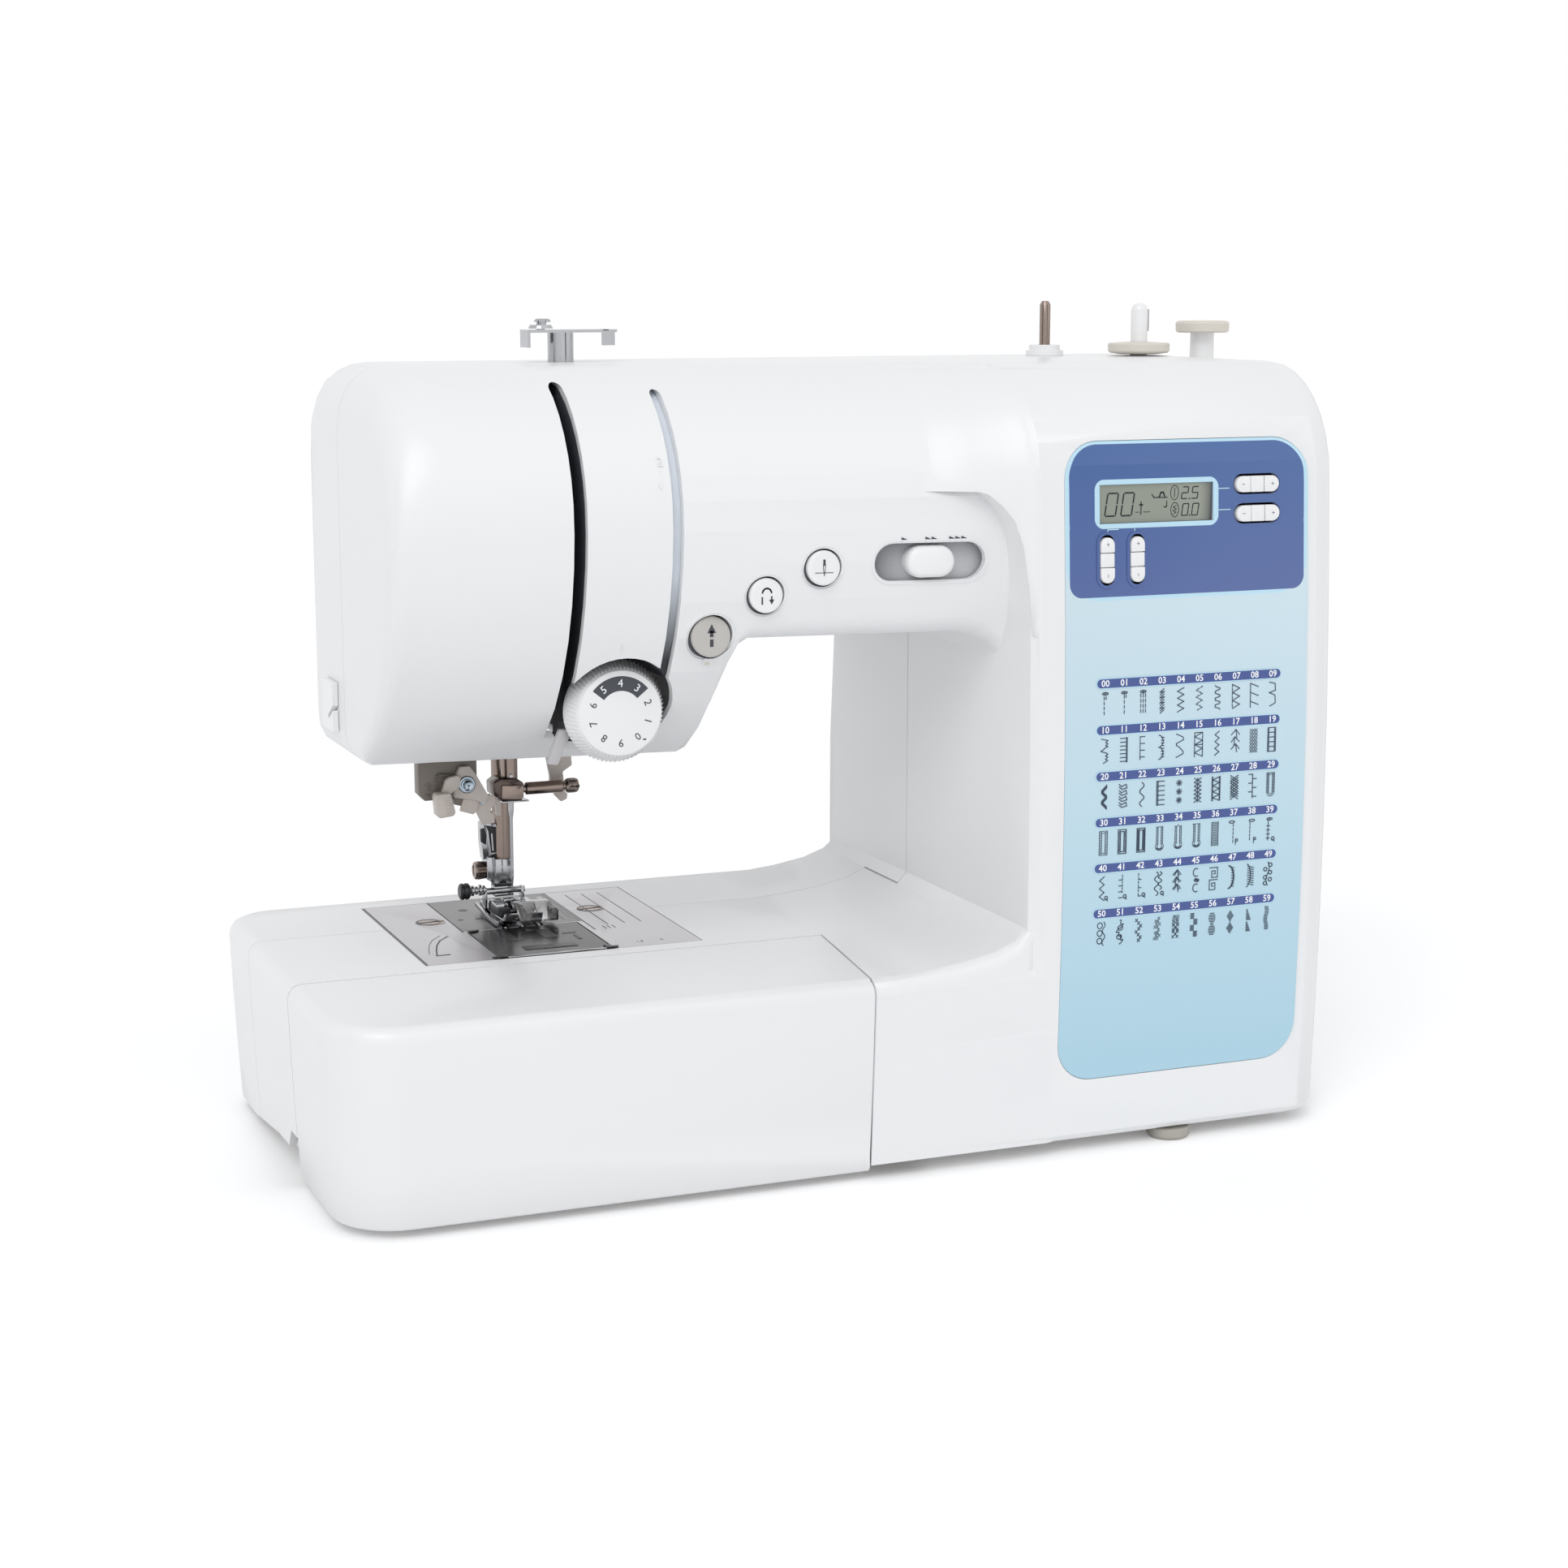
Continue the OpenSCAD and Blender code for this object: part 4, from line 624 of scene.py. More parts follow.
def wave(count, width=1.0, middle=0.0, top=1.0, low=-1.0, per=6):
    """Smooth wave down a cell."""
    total = count * per
    return [(middle + width * math.sin(math.pi * i / per), top + (low - top) * i / total)
            for i in range(total + 1)]


def line(x, top=1.0, low=-1.0):
    """Upright line of a cell."""
    return [(x, top), (x, low)]


def dashes(x, count=5, top=1.0, low=-1.0, share=0.6):
    """Broken upright line of a cell."""
    pitch = (low - top) / count
    return [[(x, top + i * pitch), (x, top + (i + share) * pitch)] for i in range(count)]


def oval(x, z, width, height, steps=10, start=0, turn=360):
    """Closed or open oval of a cell."""
    return [(x + width * math.cos(math.radians(start + turn * i / steps)),
             z + height * math.sin(math.radians(start + turn * i / steps))) for i in range(steps + 1)]


def teeth(x0, x1, count, top=1.0, low=-1.0, fall=0.0):
    """Short level or slanted lines down a cell."""
    heights = [top + (low - top) * i / max(1, count - 1) for i in range(count)]
    return [[(x0, z), (x1, z - fall)] for z in heights]


def broken(points, share=0.55, parts=2):
    """The same line, broken into short dashes."""
    out = []
    for (x0, z0), (x1, z1) in zip(points, points[1:]):
        for i in range(parts):
            out.append([(x0 + (x1 - x0) * a, z0 + (z1 - z0) * a) for a in (i / parts, (i + share) / parts)])
    return out


def mirrored(lines):
    """Lines and their mirror images on the left."""
    return [[(-x, z) for x, z in points] for points in lines] + lines


def crosses(columns, count, size=0.26, top=0.86, low=-0.86):
    """Rows of small crosses down a cell; columns gives the places of each row in turn."""
    tall = size / 2.4
    out = []
    for i in range(count):
        z = top + (low - top) * i / (count - 1)
        for x in columns[i % len(columns)]:
            out += [[(x - size, z - tilt), (x + size, z + tilt)] for tilt in (tall, -tall)]
    return out


def chevrons(count, width=0.95, rise=0.28, feathers=False):
    """Arrow heads down a cell, alternately left and right of the middle."""
    out = []
    for i in range(count):
        z, side = 0.9 - 1.8 * i / count, (-1) ** i
        tip = (0.1 * side, z + rise / 2)
        out += [[(-width, z - rise), tip, (width, z - rise)], [tip, (0.35 * side, z - 1.6 / count)]]
        if feathers:
            out += [[(-width * 0.6, z - rise * 1.2), (0, z + rise / 4)],
                    [(width * 0.6, z - rise * 1.2), (0, z)]]
    return out


def spiral(z, side):
    """Squared spiral of a Greek key around height z."""
    return [(side * x, z + rise) for x, rise in ((-0.95, 0.42), (0.95, 0.42), (0.95, -0.42), (-0.4275, -0.42),
                                                 (-0.4275, 0.14), (0.38, 0.14), (0.38, -0.12), (0, -0.12))]


def satin(widths, middles=lambda part: 0.0, rows=19):
    """Dense level lines whose width follows a pattern down the cell."""
    out = []
    for i in range(rows):
        z, part = 0.98 - 1.96 * i / (rows - 1), i / rows
        half, mid = widths(part), middles(part)
        if half > 0.04:
            out.append([(mid - half, z), (mid + half, z)])
    return out


def stitch_pictures():
    """The sixty stitches of the chart in six rows, as lists of lines in cells from -1 to 1."""
    foot = [oval(0, 0.88, 0.66, 0.1), [(-0.12, 0.88), (0.12, 0.88)]]
    letter_p = [[(0.65, -1.05), (0.65, -0.6)], oval(0.9, -0.7, 0.28, 0.11, 8)]
    letter_q = [oval(0.95, -0.82, 0.36, 0.15, 8), [(1.0, -0.9), (1.35, -1.06)]]
    hole = [[(-x, z), (x, z), (x, -z), (-x, -z), (-x, z)] for x, z in ((0.95, 1), (0.4, 0.84))]
    side = teeth(0.4, 0.95, 15, 0.9, -0.9)
    eye = [oval(0, -0.66, 0.95, 0.32, 12, 150, 240), oval(0, -0.66, 0.55, 0.2, 10, 140, 260)]
    eye += [[(u * math.cos(a), -0.66 + v * math.sin(a)) for u, v in ((0.6, 0.22), (0.98, 0.34))]
            for a in (math.radians(-30 - 15 * k) for k in range(9))]
    keyhole = [line(0.35, 0.9, -0.5), line(0.75, 0.95, -0.5)] + teeth(0.35, 0.75, 11, 0.9, -0.45)
    keyhole = mirrored(keyhole) + eye
    round_end = [[(-x, -0.6), (-x, z), (x, z), (x, -0.6)] for x, z in ((0.9, 1), (0.5, 0.86))]
    round_end += [oval(0, -0.6, 0.9, 0.38, 8, 180, 180), oval(0, -0.6, 0.5, 0.22, 8, 180, 180)]
    stars = [[(0.62 * s * math.cos(a), z + 0.24 * s * math.sin(a)) for s in (1, -1)]
             for z in (0.72, 0, -0.72) for a in (0, 0.785, 1.571, 2.356)]
    leaves = ((1, 0.75), (-1, 0.4), (1, 0.1), (-1, -0.3), (1, -0.5), (-1, -0.8))
    flourish = [(0.9 * math.sin(3.0 * t) * (0.6 + 0.4 * math.cos(9 * t)),
                 1 - 2 * t / 3.15 + 0.08 * math.sin(12 * t)) for t in (3.15 * i / 44 for i in range(45))]
    return (
        (foot + dashes(-0.25, 4, 0.62, -1, 0.55) + dashes(0.2, 1, 0.62, 0.3),
         foot + dashes(0, 4, 0.66, -1, 0.55) + dashes(0.42, 1, 0.66, 0.36),
         foot + [dash for x in (-0.55, 0, 0.55) for dash in dashes(x, 4, 0.68)],
         [[(x, z - 0.44 * i) for x, z in ((0.45, 1), (-0.5, 0.72), (0.55, 0.78), (-0.4, 0.52))]
          for i in range(4)] + [[(0.5, -0.72), (-0.4, -1)]],
         [zig(7, 0.75)], broken(zig(7, 0.75)),
         [[(0.6 * x, z) for x, z in ((-1, 1), (-0.6, 0.9), (0.9, 0.78), (0.8, 0.68), (-1, 0.52), (-1, 0.36),
                                    (0.9, 0.2), (0.8, 0.08), (-1, -0.05), (-1, -0.22), (0.9, -0.36),
                                    (0.8, -0.5), (-1, -0.62), (-1, -0.8), (0.6, -0.9), (0.9, -1))]],
         broken(line(-0.9), 0.6, 6) + [zig(6, 0.85, -1)],
         [line(-0.95)] + teeth(-0.95, 0.95, 3, 1.0, -0.5, 0.3),
         [[(-0.8, 1), (0.6, 0.88), (0.7, 0.3), (-0.8, 0.12), (0.6, -0.1), (0.7, -0.75), (-0.6, -1)]]),
        ([[(-0.8, 1), (0.2, 0.9), (0.7, 0.86), (0.2, 0.7), (0.7, 0.6), (0.2, 0.45), (0.7, 0.36), (0.2, 0.28),
           (-0.9, 0), (0.3, -0.16), (0.7, -0.26), (0.2, -0.4), (0.7, -0.5), (0.2, -0.66), (0.7, -0.78),
           (-0.3, -1)]],
         [line(0.8), line(0.62)] + teeth(-0.8, 0.8, 7, 0.95, -0.95),
         broken(line(-0.6), 0.6, 8) + teeth(-0.6, 0.45, 4, 0.98, -0.7),
         [oval(-0.6, z, 1.0, 0.5, 8, 90, -180) for z in (0.5, -0.5)] + teeth(0, 0.6, 8, 0.8, -0.8),
         [[(-0.9, 1), (0.7, 0.72), (0.85, 0.5), (-0.9, 0.2), (-0.85, 0.05), (-0.2, -0.1), (0.8, -0.5),
           (0.75, -0.66), (-0.9, -0.95)]],
         [line(-0.95), line(0.95), zig(6, 0.95)] + teeth(-0.95, 0.95, 2, 1, 0),
         [zig(7, 0.5)], chevrons(3), crosses([(-0.6, 0, 0.6)], 7, 0.3),
         mirrored([line(0.95), line(0.7)]) + teeth(-0.7, 0.7, 6)),
        ([zig(4, 0.6, 1, 0, 0.78 + r, -1 + r) for r in (0, 0.11, 0.22)],
         [[(x, z + rise) for x, rise in ((-0.9, 0.22), (-0.4, 0.02), (0.7, 0.2), (0.9, -0.1), (-0.3, -0.2),
                                        (-0.9, 0))] for z in (0.75, 0.25, -0.25, -0.75)],
         [wave(4, 0.5)], [line(-0.9), line(-0.6)] + teeth(-0.9, 0.9, 6, 0.98, -0.98), stars,
         mirrored([zig(6, 0.8)]) + [line(0)],
         mirrored([line(0.95), line(0.8)]) + [zig(8, 0.8)],
         [zig(4, 0.9, k, 0, 1 - r, -0.8 - r) for k in (1, -1) for r in (0, 0.2)],
         [line(0)] + teeth(-0.9, 0, 3, 0.98, -0.5) + teeth(0, 0.9, 3, 0.6, -0.9),
         round_end + mirrored(side[:13])),
        (hole + mirrored(side), hole + [zig(16, 0.2, 1, x, 0.9, -0.9) for x in (-0.68, 0.68)],
         hole + [zig(28, 0.26, 1, x, 0.9, -0.9) for x in (-0.68, 0.68)],
         keyhole + [[(-0.75, 0.98), (0.75, 0.98)]], keyhole + [[(-0.5, 0.86), (0, 1.02), (0.5, 0.86)]],
         keyhole + broken([(-0.95, 0.98), (0.95, 0.98)], 0.6, 4),
         [line(-0.8), line(0.8)] + teeth(-0.8, 0.8, 20, 0.98, -0.98),
         [[(x - 0.35, z) for x, z in foot[0]]] + dashes(0, 5, 0.7) + letter_p,
         [[(x + 0.1, z) for x, z in foot[0]]] + dashes(-0.35, 5, 0.7, -0.9) + letter_p,
         foot + dashes(-0.3, 8, 0.76) + teeth(-0.65, 0.1, 4, 0.3, -0.75) + letter_q),
        ([zig(6, 0.55, 1, -0.1)] + letter_q,
         dashes(0.3, 6, 1, -0.6, 0.5) + teeth(-0.5, 0.3, 4, 0.6, -0.9) + letter_q,
         dashes(-0.3, 6, share=0.5) + teeth(-0.3, 0.3, 3, 0.5, -0.9) + letter_q,
         [wave(5, 0.45, -0.45), wave(5, 0.4, 0.4, 1, -0.5)] + letter_q,
         chevrons(3, feathers=True),
         [oval(0.2, z, 0.7, 0.34, 10, 60, 240) for z in (0.66, -0.66)]
         + [oval(0.3, 0, 0.5, 0.12), [(-0.2, 0), (1, 0)], [(0.1, 0.16), (0.7, -0.16)]],
         [spiral(0.52, 1), spiral(-0.52, -1)],
         [oval(-0.9, 0, 1.5, 1.0, 12, 80, -160), oval(-1.1, 0, 1.5, 1.0, 12, 78, -156)]
         + teeth(0.0, 0.5, 8, 0.8, -0.8),
         [oval(-0.9, 0, 1.1, 1.0, 10, 80, -160)] + teeth(-0.5, 0.9, 9, 0.8, -0.7, 0.16),
         [wave(2, 0.35, per=8)] + [oval(s * 0.6, z, 0.42, 0.16, 8, 30 * s) for s, z in leaves]),
        ([oval(-0.3, z, 0.6, 0.25) for z in (0.7, 0.05, -0.6)] + [wave(4, 0.3, 0.6)],
         [flourish, oval(0.1, 0.35, 0.6, 0.2), oval(-0.1, -0.4, 0.6, 0.2)],
         crosses([(-0.5,), (0,), (0.5,), (0.1,)], 8),
         crosses([(0.4,), (-0.3, 0.2), (-0.1, 0.6), (-0.5, 0.1)], 8),
         crosses([(-0.4, 0.6), (0.1,), (-0.5, 0.5)], 9) + crosses([(0,), (-0.5, 0.5)], 8),
         satin(lambda part: 0.38, lambda part: -0.4 if int(part * 4) % 2 == 0 else 0.4, 20),
         satin(lambda part: 0.75 * abs(math.sin(2 * math.pi * part)) ** 0.6, rows=15),
         satin(lambda part: 0.8 * (1 - abs(4 * (part % 0.5) - 1)) ** 1.3),
         satin(lambda part: part % 0.5, lambda part: part % 0.5 - 0.4),
         satin(lambda part: 0.42, lambda part: 0.16 * math.sin(9 * part), 22)),
    )


# ---------------------------------------------------------------- display digits

SEVEN = {"0": "abcdef", "2": "abged", "5": "afgcd"}
SEGMENTS = {"a": (0.12, 1, 0.88, 1), "b": (1, 0.94, 1, 0.56), "c": (1, 0.44, 1, 0.06),
            "d": (0.12, 0, 0.88, 0), "e": (0, 0.44, 0, 0.06), "f": (0, 0.94, 0, 0.56),
            "g": (0.12, 0.5, 0.88, 0.5)}


def seven_text(bm, text, x, z, width, height, line_width):
    """Row of leaning seven-segment digits and points, with its lower left corner at x, z."""
    for sign in text:
        if sign == ".":
            point = block((line_width * 1.3, line_width * 1.3, PRINT))
            join(bm, put(point, x - width * 0.12, z, PRINT / 2))
            x += width * 0.2
            continue
        for name in SEVEN[sign]:
            x0, z0, x1, z1 = SEGMENTS[name]
            ends = [(x + u * width + 0.14 * v * height, z + v * height) for u, v in ((x0, z0), (x1, z1))]
            stroke(bm, ends, line_width)
        x += width * 1.5


# ---------------------------------------------------------------- settings


def colour_setting(name, about, value):
    """Colour that a user may change."""
    return bpy.props.FloatVectorProperty(name=name, description=about, subtype="COLOR", size=3, min=0, max=1,
                                         default=value)


def length_setting(name, about, value):
    """Length in metres that a user may change."""
    return bpy.props.FloatProperty(name=name, description=about, subtype="DISTANCE", unit="LENGTH", min=0,
                                   default=value)


class SewingMachineLook(bpy.types.PropertyGroup):
    """Colours and small sizes of the machine."""

    shell_colour: colour_setting("Shell", "Moulded covers", (0.815, 0.818, 0.825))
    trim_colour: colour_setting("Trim", "Buttons, keys and handle", (0.835, 0.836, 0.84))
    beige_colour: colour_setting("Threader", "Warm grey pieces at the needle", (0.2, 0.175, 0.15))
    start_colour: colour_setting("Start button", "Cap of the start and stop button", (0.5, 0.485, 0.46))
    panel_high_colour: colour_setting("Panel, upper", "Printed sheet near the keys", (0.6, 0.74, 0.81))
    panel_low_colour: colour_setting("Panel, lower", "Printed sheet at its foot", (0.4, 0.62, 0.74))
    field_high_colour: colour_setting("Field, upper", "Dark field at its top", (0.058, 0.128, 0.335))
    field_low_colour: colour_setting("Field, lower", "Dark field at its foot", (0.09, 0.138, 0.345))
    print_colour: colour_setting("Print", "Bars of the stitch chart", (0.06, 0.095, 0.29))
    glass_colour: colour_setting("Display", "Glass of the display", (0.3, 0.32, 0.27))
    edge_width: length_setting("Cover edge", "Rounding at the edges of the covers", 0.0005)
    part_edge: length_setting("Part edge", "Rounding at the edges of small parts", 0.0002)
    knurls: bpy.props.IntProperty(name="Knurls", description="Ridges round the tension dial",
                                  default=72, min=24, max=120)


class Step:
    """What all building operators share."""

    bl_options = {"REGISTER", "UNDO"}

    def execute(self, context):
        """Makes the pieces."""
        self.build(context.scene.sewing_machine_look)
        return {"FINISHED"}


class MACHINE_OT_finishes(Step, bpy.types.Operator):
    """Make the materials"""

    bl_idname = "machine.finishes"
    bl_label = "Finishes"

    def build(self, look):
        """All materials."""
        make_finishes(look)


COVERS = {"front_cover": "shell", "rear_cover": "shell", "accessory_box": "shell",
          "base_plate": "shell", "rubber_feet": "rubber", "thread_channel": "slots",
          "carry_handle": "trim", "handle_brackets": "trim"}


class MACHINE_OT_covers(Step, bpy.types.Operator):
    """Dress the moulded covers, the accessory box, the feet and the handle"""

    bl_idname = "machine.covers"
    bl_label = "Covers"

    def build(self, look):
        """Covers with softened edges."""
        for name, material in COVERS.items():
            dressed(name, name + "_shell", material, look.edge_width / MM)


# Middle of each rocker key, and whether it stands upright
KEYS = {"tens_key": (57, 203.6, True), "units_key": (68.3, 203.6, True), "length_key": (114.2, 227.2, False),
        "width_key": (114.4, 217.4, False)}


class MACHINE_OT_panel(Step, bpy.types.Operator):
    """Dress the control panel, its keys and guide lines"""

    bl_idname = "machine.panel"
    bl_label = "Control panel"

    def build(self, look):
        """Sheet, keys and lines."""
        dressed("control_panel", "panel_sheet", "panel", 0.15)
        lines, rims = bmesh.new(), bmesh.new()
        for points in (((98.8, 226.0), (103.4, 226.0)), ((99.2, 218.9), (103.8, 218.9)),
                       ((57.3, 212.4), (57.3, 213.6), (61.2, 213.6)), ((67.4, 212.4), (67.4, 213.6))):
            stroke(lines, points, 0.3)
        prints("panel_guide_lines", "control_panel", lay(lines, on_panel, 0.02), "pale_ink")
        for name, (x, z, upright) in KEYS.items():
            self.key(name, x, z, upright)
            if upright:
                join(rims, put(frame_plate(7.6, 18.8, 3.75, 1.05, 0.12), x, z, 0))
        extra("key_rims", "control_panel", lay(rims, on_panel, 0.03), "panel", 30)

    def key(self, name, x, z, upright):
        """Rocker key in three fields with two cross lines and its signs."""
        wide, tall = (0.9, 0.9) if upright else (0.99, 0.96)
        lean = math.degrees(math.atan((pad_y(x, z + 4) - pad_y(x, z - 4)) / 8))
        face = at(x, pad_y(x, z) - 0.55, z, turned(-lean, "X") @ FACE @ turned(90 if upright else 0))
        face = face @ Matrix.Diagonal((wide, tall, 1, 1))
        end = [point for point in corner_points(16.8, 5.7, 2.8) if point[0] < -2.8]
        end += [(-2.8, -2.85), (-2.8, 2.85)]
        middle = [(-2.55, -2.85), (2.55, -2.85), (2.55, 2.85), (-2.55, 2.85)]
        cap = group_of(put(pill(16.6, 5.5, 2.2), 0, 0, -3.6), put(plate(end, 3.2, 0.35), 0, 0, -3),
                       put(plate(middle, 2.95, 0.3), 0, 0, -3),
                       put(plate(end, 3.2, 0.35), 0, 0, -3, turned(180)))
        cap.transform(face)
        own(name, cap, "trim", ending="_cap")
        signs = bmesh.new()
        for points in ([(-6.2, 0), (-5.2, 0)], [(5.3, 0), (6.3, 0)], [(5.8, -0.5), (5.8, 0.5)]):
            stroke(signs, points, 0.16)
        signs.transform(face @ at(0, 0, 0.21))
        prints(name + "_signs", name, signs, "ink")


class MACHINE_OT_display(Step, bpy.types.Operator):
    """Make the display glass and the segments on it"""

    bl_idname = "machine.display"
    bl_label = "Display"

    def build(self, look):
        """Glass, digits and pictures."""
        dressed("lcd_display", "display_glass", "glass", 0.1)
        signs = bmesh.new()
        for row in (("00", 57.0, 217.9, 4.0, 7.5, 0.5), ("2.5", 85.8, 222.9, 2.25, 3.9, 0.36),
                    ("0.0", 86.0, 217.3, 2.25, 3.9, 0.36)):
            seven_text(signs, *row)
        needle = ((0.35, ((70.6, 222.2), (70.6, 218.2))), (0.22, ((68.6, 218.9), (69.8, 218.9))),
                  (0.22, ((71.6, 218.9), (73.9, 218.9))), (0.5, ((70.1, 221.3), (71.1, 221.3))))
        foot = ((0.32, ((80.3, 222.2), (80.3, 220.6), (79.8, 220.2), (79.3, 220.5))),
                (0.34, ((74.6, 224.6), (75.4, 223.6), (80.4, 223.5))),
                (0.5, ((77.4, 223.7), (78.0, 225.2), (78.9, 225.2), (79.4, 224.0))))
        for width, points in needle + foot:
            stroke(signs, points, width)
        for x, z, mark in ((83.2, 225.0, [(0, 0.6), (0, -0.6)]), (83.4, 219.3, zig(5, 0.5, 1, 0, 0.6, -0.6))):
            draw(signs, [oval(0, 0, 1, 1, 20)], x, z, 1.5, 2.4, 0.2)
            draw(signs, [mark], x, z, 1.2, 2.4, 0.22)
        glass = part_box("lcd_display")[0].y / MM
        prints("display_segments", "lcd_display", lay(signs, lambda x, z: glass, 0.02), "segment")


CHART_LEFT, CHART_TOP, CHART_MIDDLE = 56.4, 162.7, 88.6      # first number, and middle of the bars
COLUMN, ROW, CELL = 7.17, 15.65, (1.62, 4.1)                 # distances of the pictures, and half their size
CROWDED = 22                                                 # lines of a picture that needs a finer pen


class MACHINE_OT_chart(Step, bpy.types.Operator):
    """Print the stitch chart on the panel"""

    bl_idname = "machine.chart"
    bl_label = "Stitch chart"

    def build(self, look):
        """Six bars with numbers and ten pictures under each."""
        rims, bars, numbers, pictures = (bmesh.new() for _ in range(4))
        for row, cells in enumerate(stitch_pictures()):
            z = CHART_TOP - ROW * row
            join(rims, put(pill(71.3, 3.6, 0.03), CHART_MIDDLE, z, 0))
            join(bars, put(pill(70.6, 3.0, 0.04), CHART_MIDDLE, z, 0.01))
            for column, lines in enumerate(cells):
                x = CHART_LEFT + COLUMN * column
                join(numbers, put(lettering(f"{row}{column}", 3.1, 0.03, 0.045), x, z - 0.05, 0.05))
                draw(pictures, lines, x, z - 7.0, *CELL, 0.3 if len(lines) < CROWDED else 0.2, 0.04)
        for name, bm, material in (("rims", rims, "pale_ink"), ("bars", bars, "blue_ink"),
                                   ("numbers", numbers, "white_ink"), ("pictures", pictures, "icon_ink")):
            prints("chart_" + name, "control_panel", lay(bm, on_panel, 0.03), material)


# ---------------------------------------------------------------- the arm

# Place, width and finish of each button, then the arrow head and the strokes of its sign
BUTTONS = {
    "start_stop_button": (-70.0, 180.2, 14.0, "grey", [(-1.5, 1.3), (1.5, 1.3), (0, 4.2)],
                          (([(0, 1.4), (0, 0.6)], 1.2), ([(0, -1.4), (0, -2.6)], 1.2))),
    "reverse_button": (-53.3, 193.7, 12.0, "trim", [(0.75, -1.3), (1.65, -2.9), (2.55, -1.3)],
                       ((oval(0, 0.7, 1.6, 1.7, 10, 170, -160), 0.5), ([(-1.65, -0.6), (-1.65, -2.6)], 0.5),
                        ([(1.65, -0.4), (1.65, -1.4)], 0.5))),
    "needle_position_button": (-34.8, 202.4, 12.0, "trim", None,
                               (([(-3.1, -1.5), (3.1, -1.6)], 0.22), ([(0, 2.4), (0, 1.2)], 0.8),
                                ([(-0.4, 1.0), (-0.3, -0.6), (0, -2.5), (0.3, -0.6), (0.4, 1.0)], 0.2))),
}
SLIDER = (1.6, 203.5)
LAMP = (-69.5, 170.7)


def out_of_arm(x, z):
    """Matrix whose +Z looks out of the arm's face at x, z."""
    slopes = [(arm_y(x + dx, z + dz) - arm_y(x - dx, z - dz)) / 2 for dx, dz in ((1, 0), (0, 1))]
    out = Vector((slopes[0], -1, slopes[1])).normalized()
    side = out.cross(Vector((0, 0, 1))).normalized()
    return at(x, arm_y(x, z), z, Matrix((side, out.cross(side), out)).transposed().to_4x4())


class MACHINE_OT_arm(Step, bpy.types.Operator):
    """Make the buttons, the slider, the prints and the small lamp of the arm"""

    bl_idname = "machine.arm"
    bl_label = "Arm controls"

    def build(self, look):
        """Controls on the face of the arm."""
        rims = bmesh.new()
        for name, (x, z, width, material, arrow, strokes) in BUTTONS.items():
            radius = width / 2 - 0.25
            face = arm_y(x, z) - 1.2
            cap = lathe([(0, -6), (radius, -6), (radius, -0.55), (radius - 0.35, -0.12), (radius - 0.9, 0),
                         (radius - 1.6, -0.03), (0, -0.05)], 64)
            own(name, put(cap, x, face, z, FACE), material, ending="_cap")
            sign = bmesh.new()
            if arrow:
                join(sign, plate(arrow))
            for points, line_width in strokes:
                stroke(sign, points, line_width)
            prints(name + "_symbol", name, put(sign, x, face, z, FACE), "ink")
            # Dark grey wall inside the gap round each cap: painted shade in that gap
            well = lathe([(radius + 0.3, -7), (radius + 0.62, -7), (radius + 0.62, -0.6),
                          (radius + 0.3, -0.6)], 64)
            piece(name + "_well", put(well, x, arm_y(x, z), z, FACE), "dark", "housing", "dark_plastic")
            inner, outer, rise = width / 2 + 0.9, width / 2 + 1.5, 0.16
            rim = lathe([(inner, -0.3), (outer, -0.3), (outer - 0.15, rise * 0.6),
                         ((inner + outer) / 2, rise), (inner + 0.15, rise * 0.6), (inner, -0.3)], 64)
            join(rims, lay(rim, arm_y, 0, x, z))
        join(rims, lay(frame_plate(40.2, 14.8, 7.35, 0.55, 0.32), arm_y, -0.18, *SLIDER))
        drop = [(1.9 * math.sin(a) * (0.75 + 0.25 * math.cos(a)), 0.2 + 2.4 * math.cos(a))
                for a in (math.radians(20 * k) for k in range(18))]
        join(rims, lay(plate(drop, 0.3, 0.1), arm_y, -0.16, *LAMP))
        extra("face_rims", "front_cover", rims, "shell")
        led = lathe([(0, -0.2), (1.0, -0.2), (0.95, 0.1), (0.6, 0.3), (0, 0.38)], 24)
        led.transform(out_of_arm(*LAMP))
        extra("button_lamp", "lamp", led, "lens")
        marks = bmesh.new()
        for count, x in ((1, -7.6), (2, 1.6), (3, 10.8)):
            for i in range(count):
                left = x + (i - count / 2) * 2.1
                join(marks, plate([(left, 210.2), (left + 1.9, 211.0), (left, 211.8)]))
        prints("speed_marks", "front_cover", lay(marks, arm_y, 0.03), "ink")
        self.slider()

    def slider(self):
        """Window floor and sliding knob."""
        x, z = SLIDER
        place = at(x, arm_y(x, z), z, turned(math.degrees(math.atan(ARM_SLOPE))) @ FACE)
        floor = put(pill(43.6, 14.6, 1.9, 2.0, 0.2), 0, 0, -6.75)
        floor.transform(place)
        extra("slider_floor", "speed_slider", floor, "recess")
        knob, rounds, loops = bmesh.new(), [], []
        for height, width, tall in ((-5.2, 17.0, 10.6), (-0.6, 17.0, 10.6), (0.9, 16.2, 9.8),
                                    (1.5, 14.6, 8.4), (1.75, 12.0, 6.4)):
            points = corner_points(width, tall, tall / 2 - 0.01, 10)
            verts = [knob.verts.new((u, v, height)) for u, v in points]
            rounds.append(verts)
            loops.append([knob.edges.new(pair) for pair in zip(verts, verts[1:] + verts[:1])])
        for low, high in zip(loops, loops[1:]):
            bmesh.ops.bridge_loops(knob, edges=low + high)
        for verts in (rounds[0], rounds[-1]):
            knob.faces.new(verts)
        closed(knob).transform(place)
        piece("slider_knob", knob, "trim", *of_node("speed_slider"), ("speed_slider",), 50)


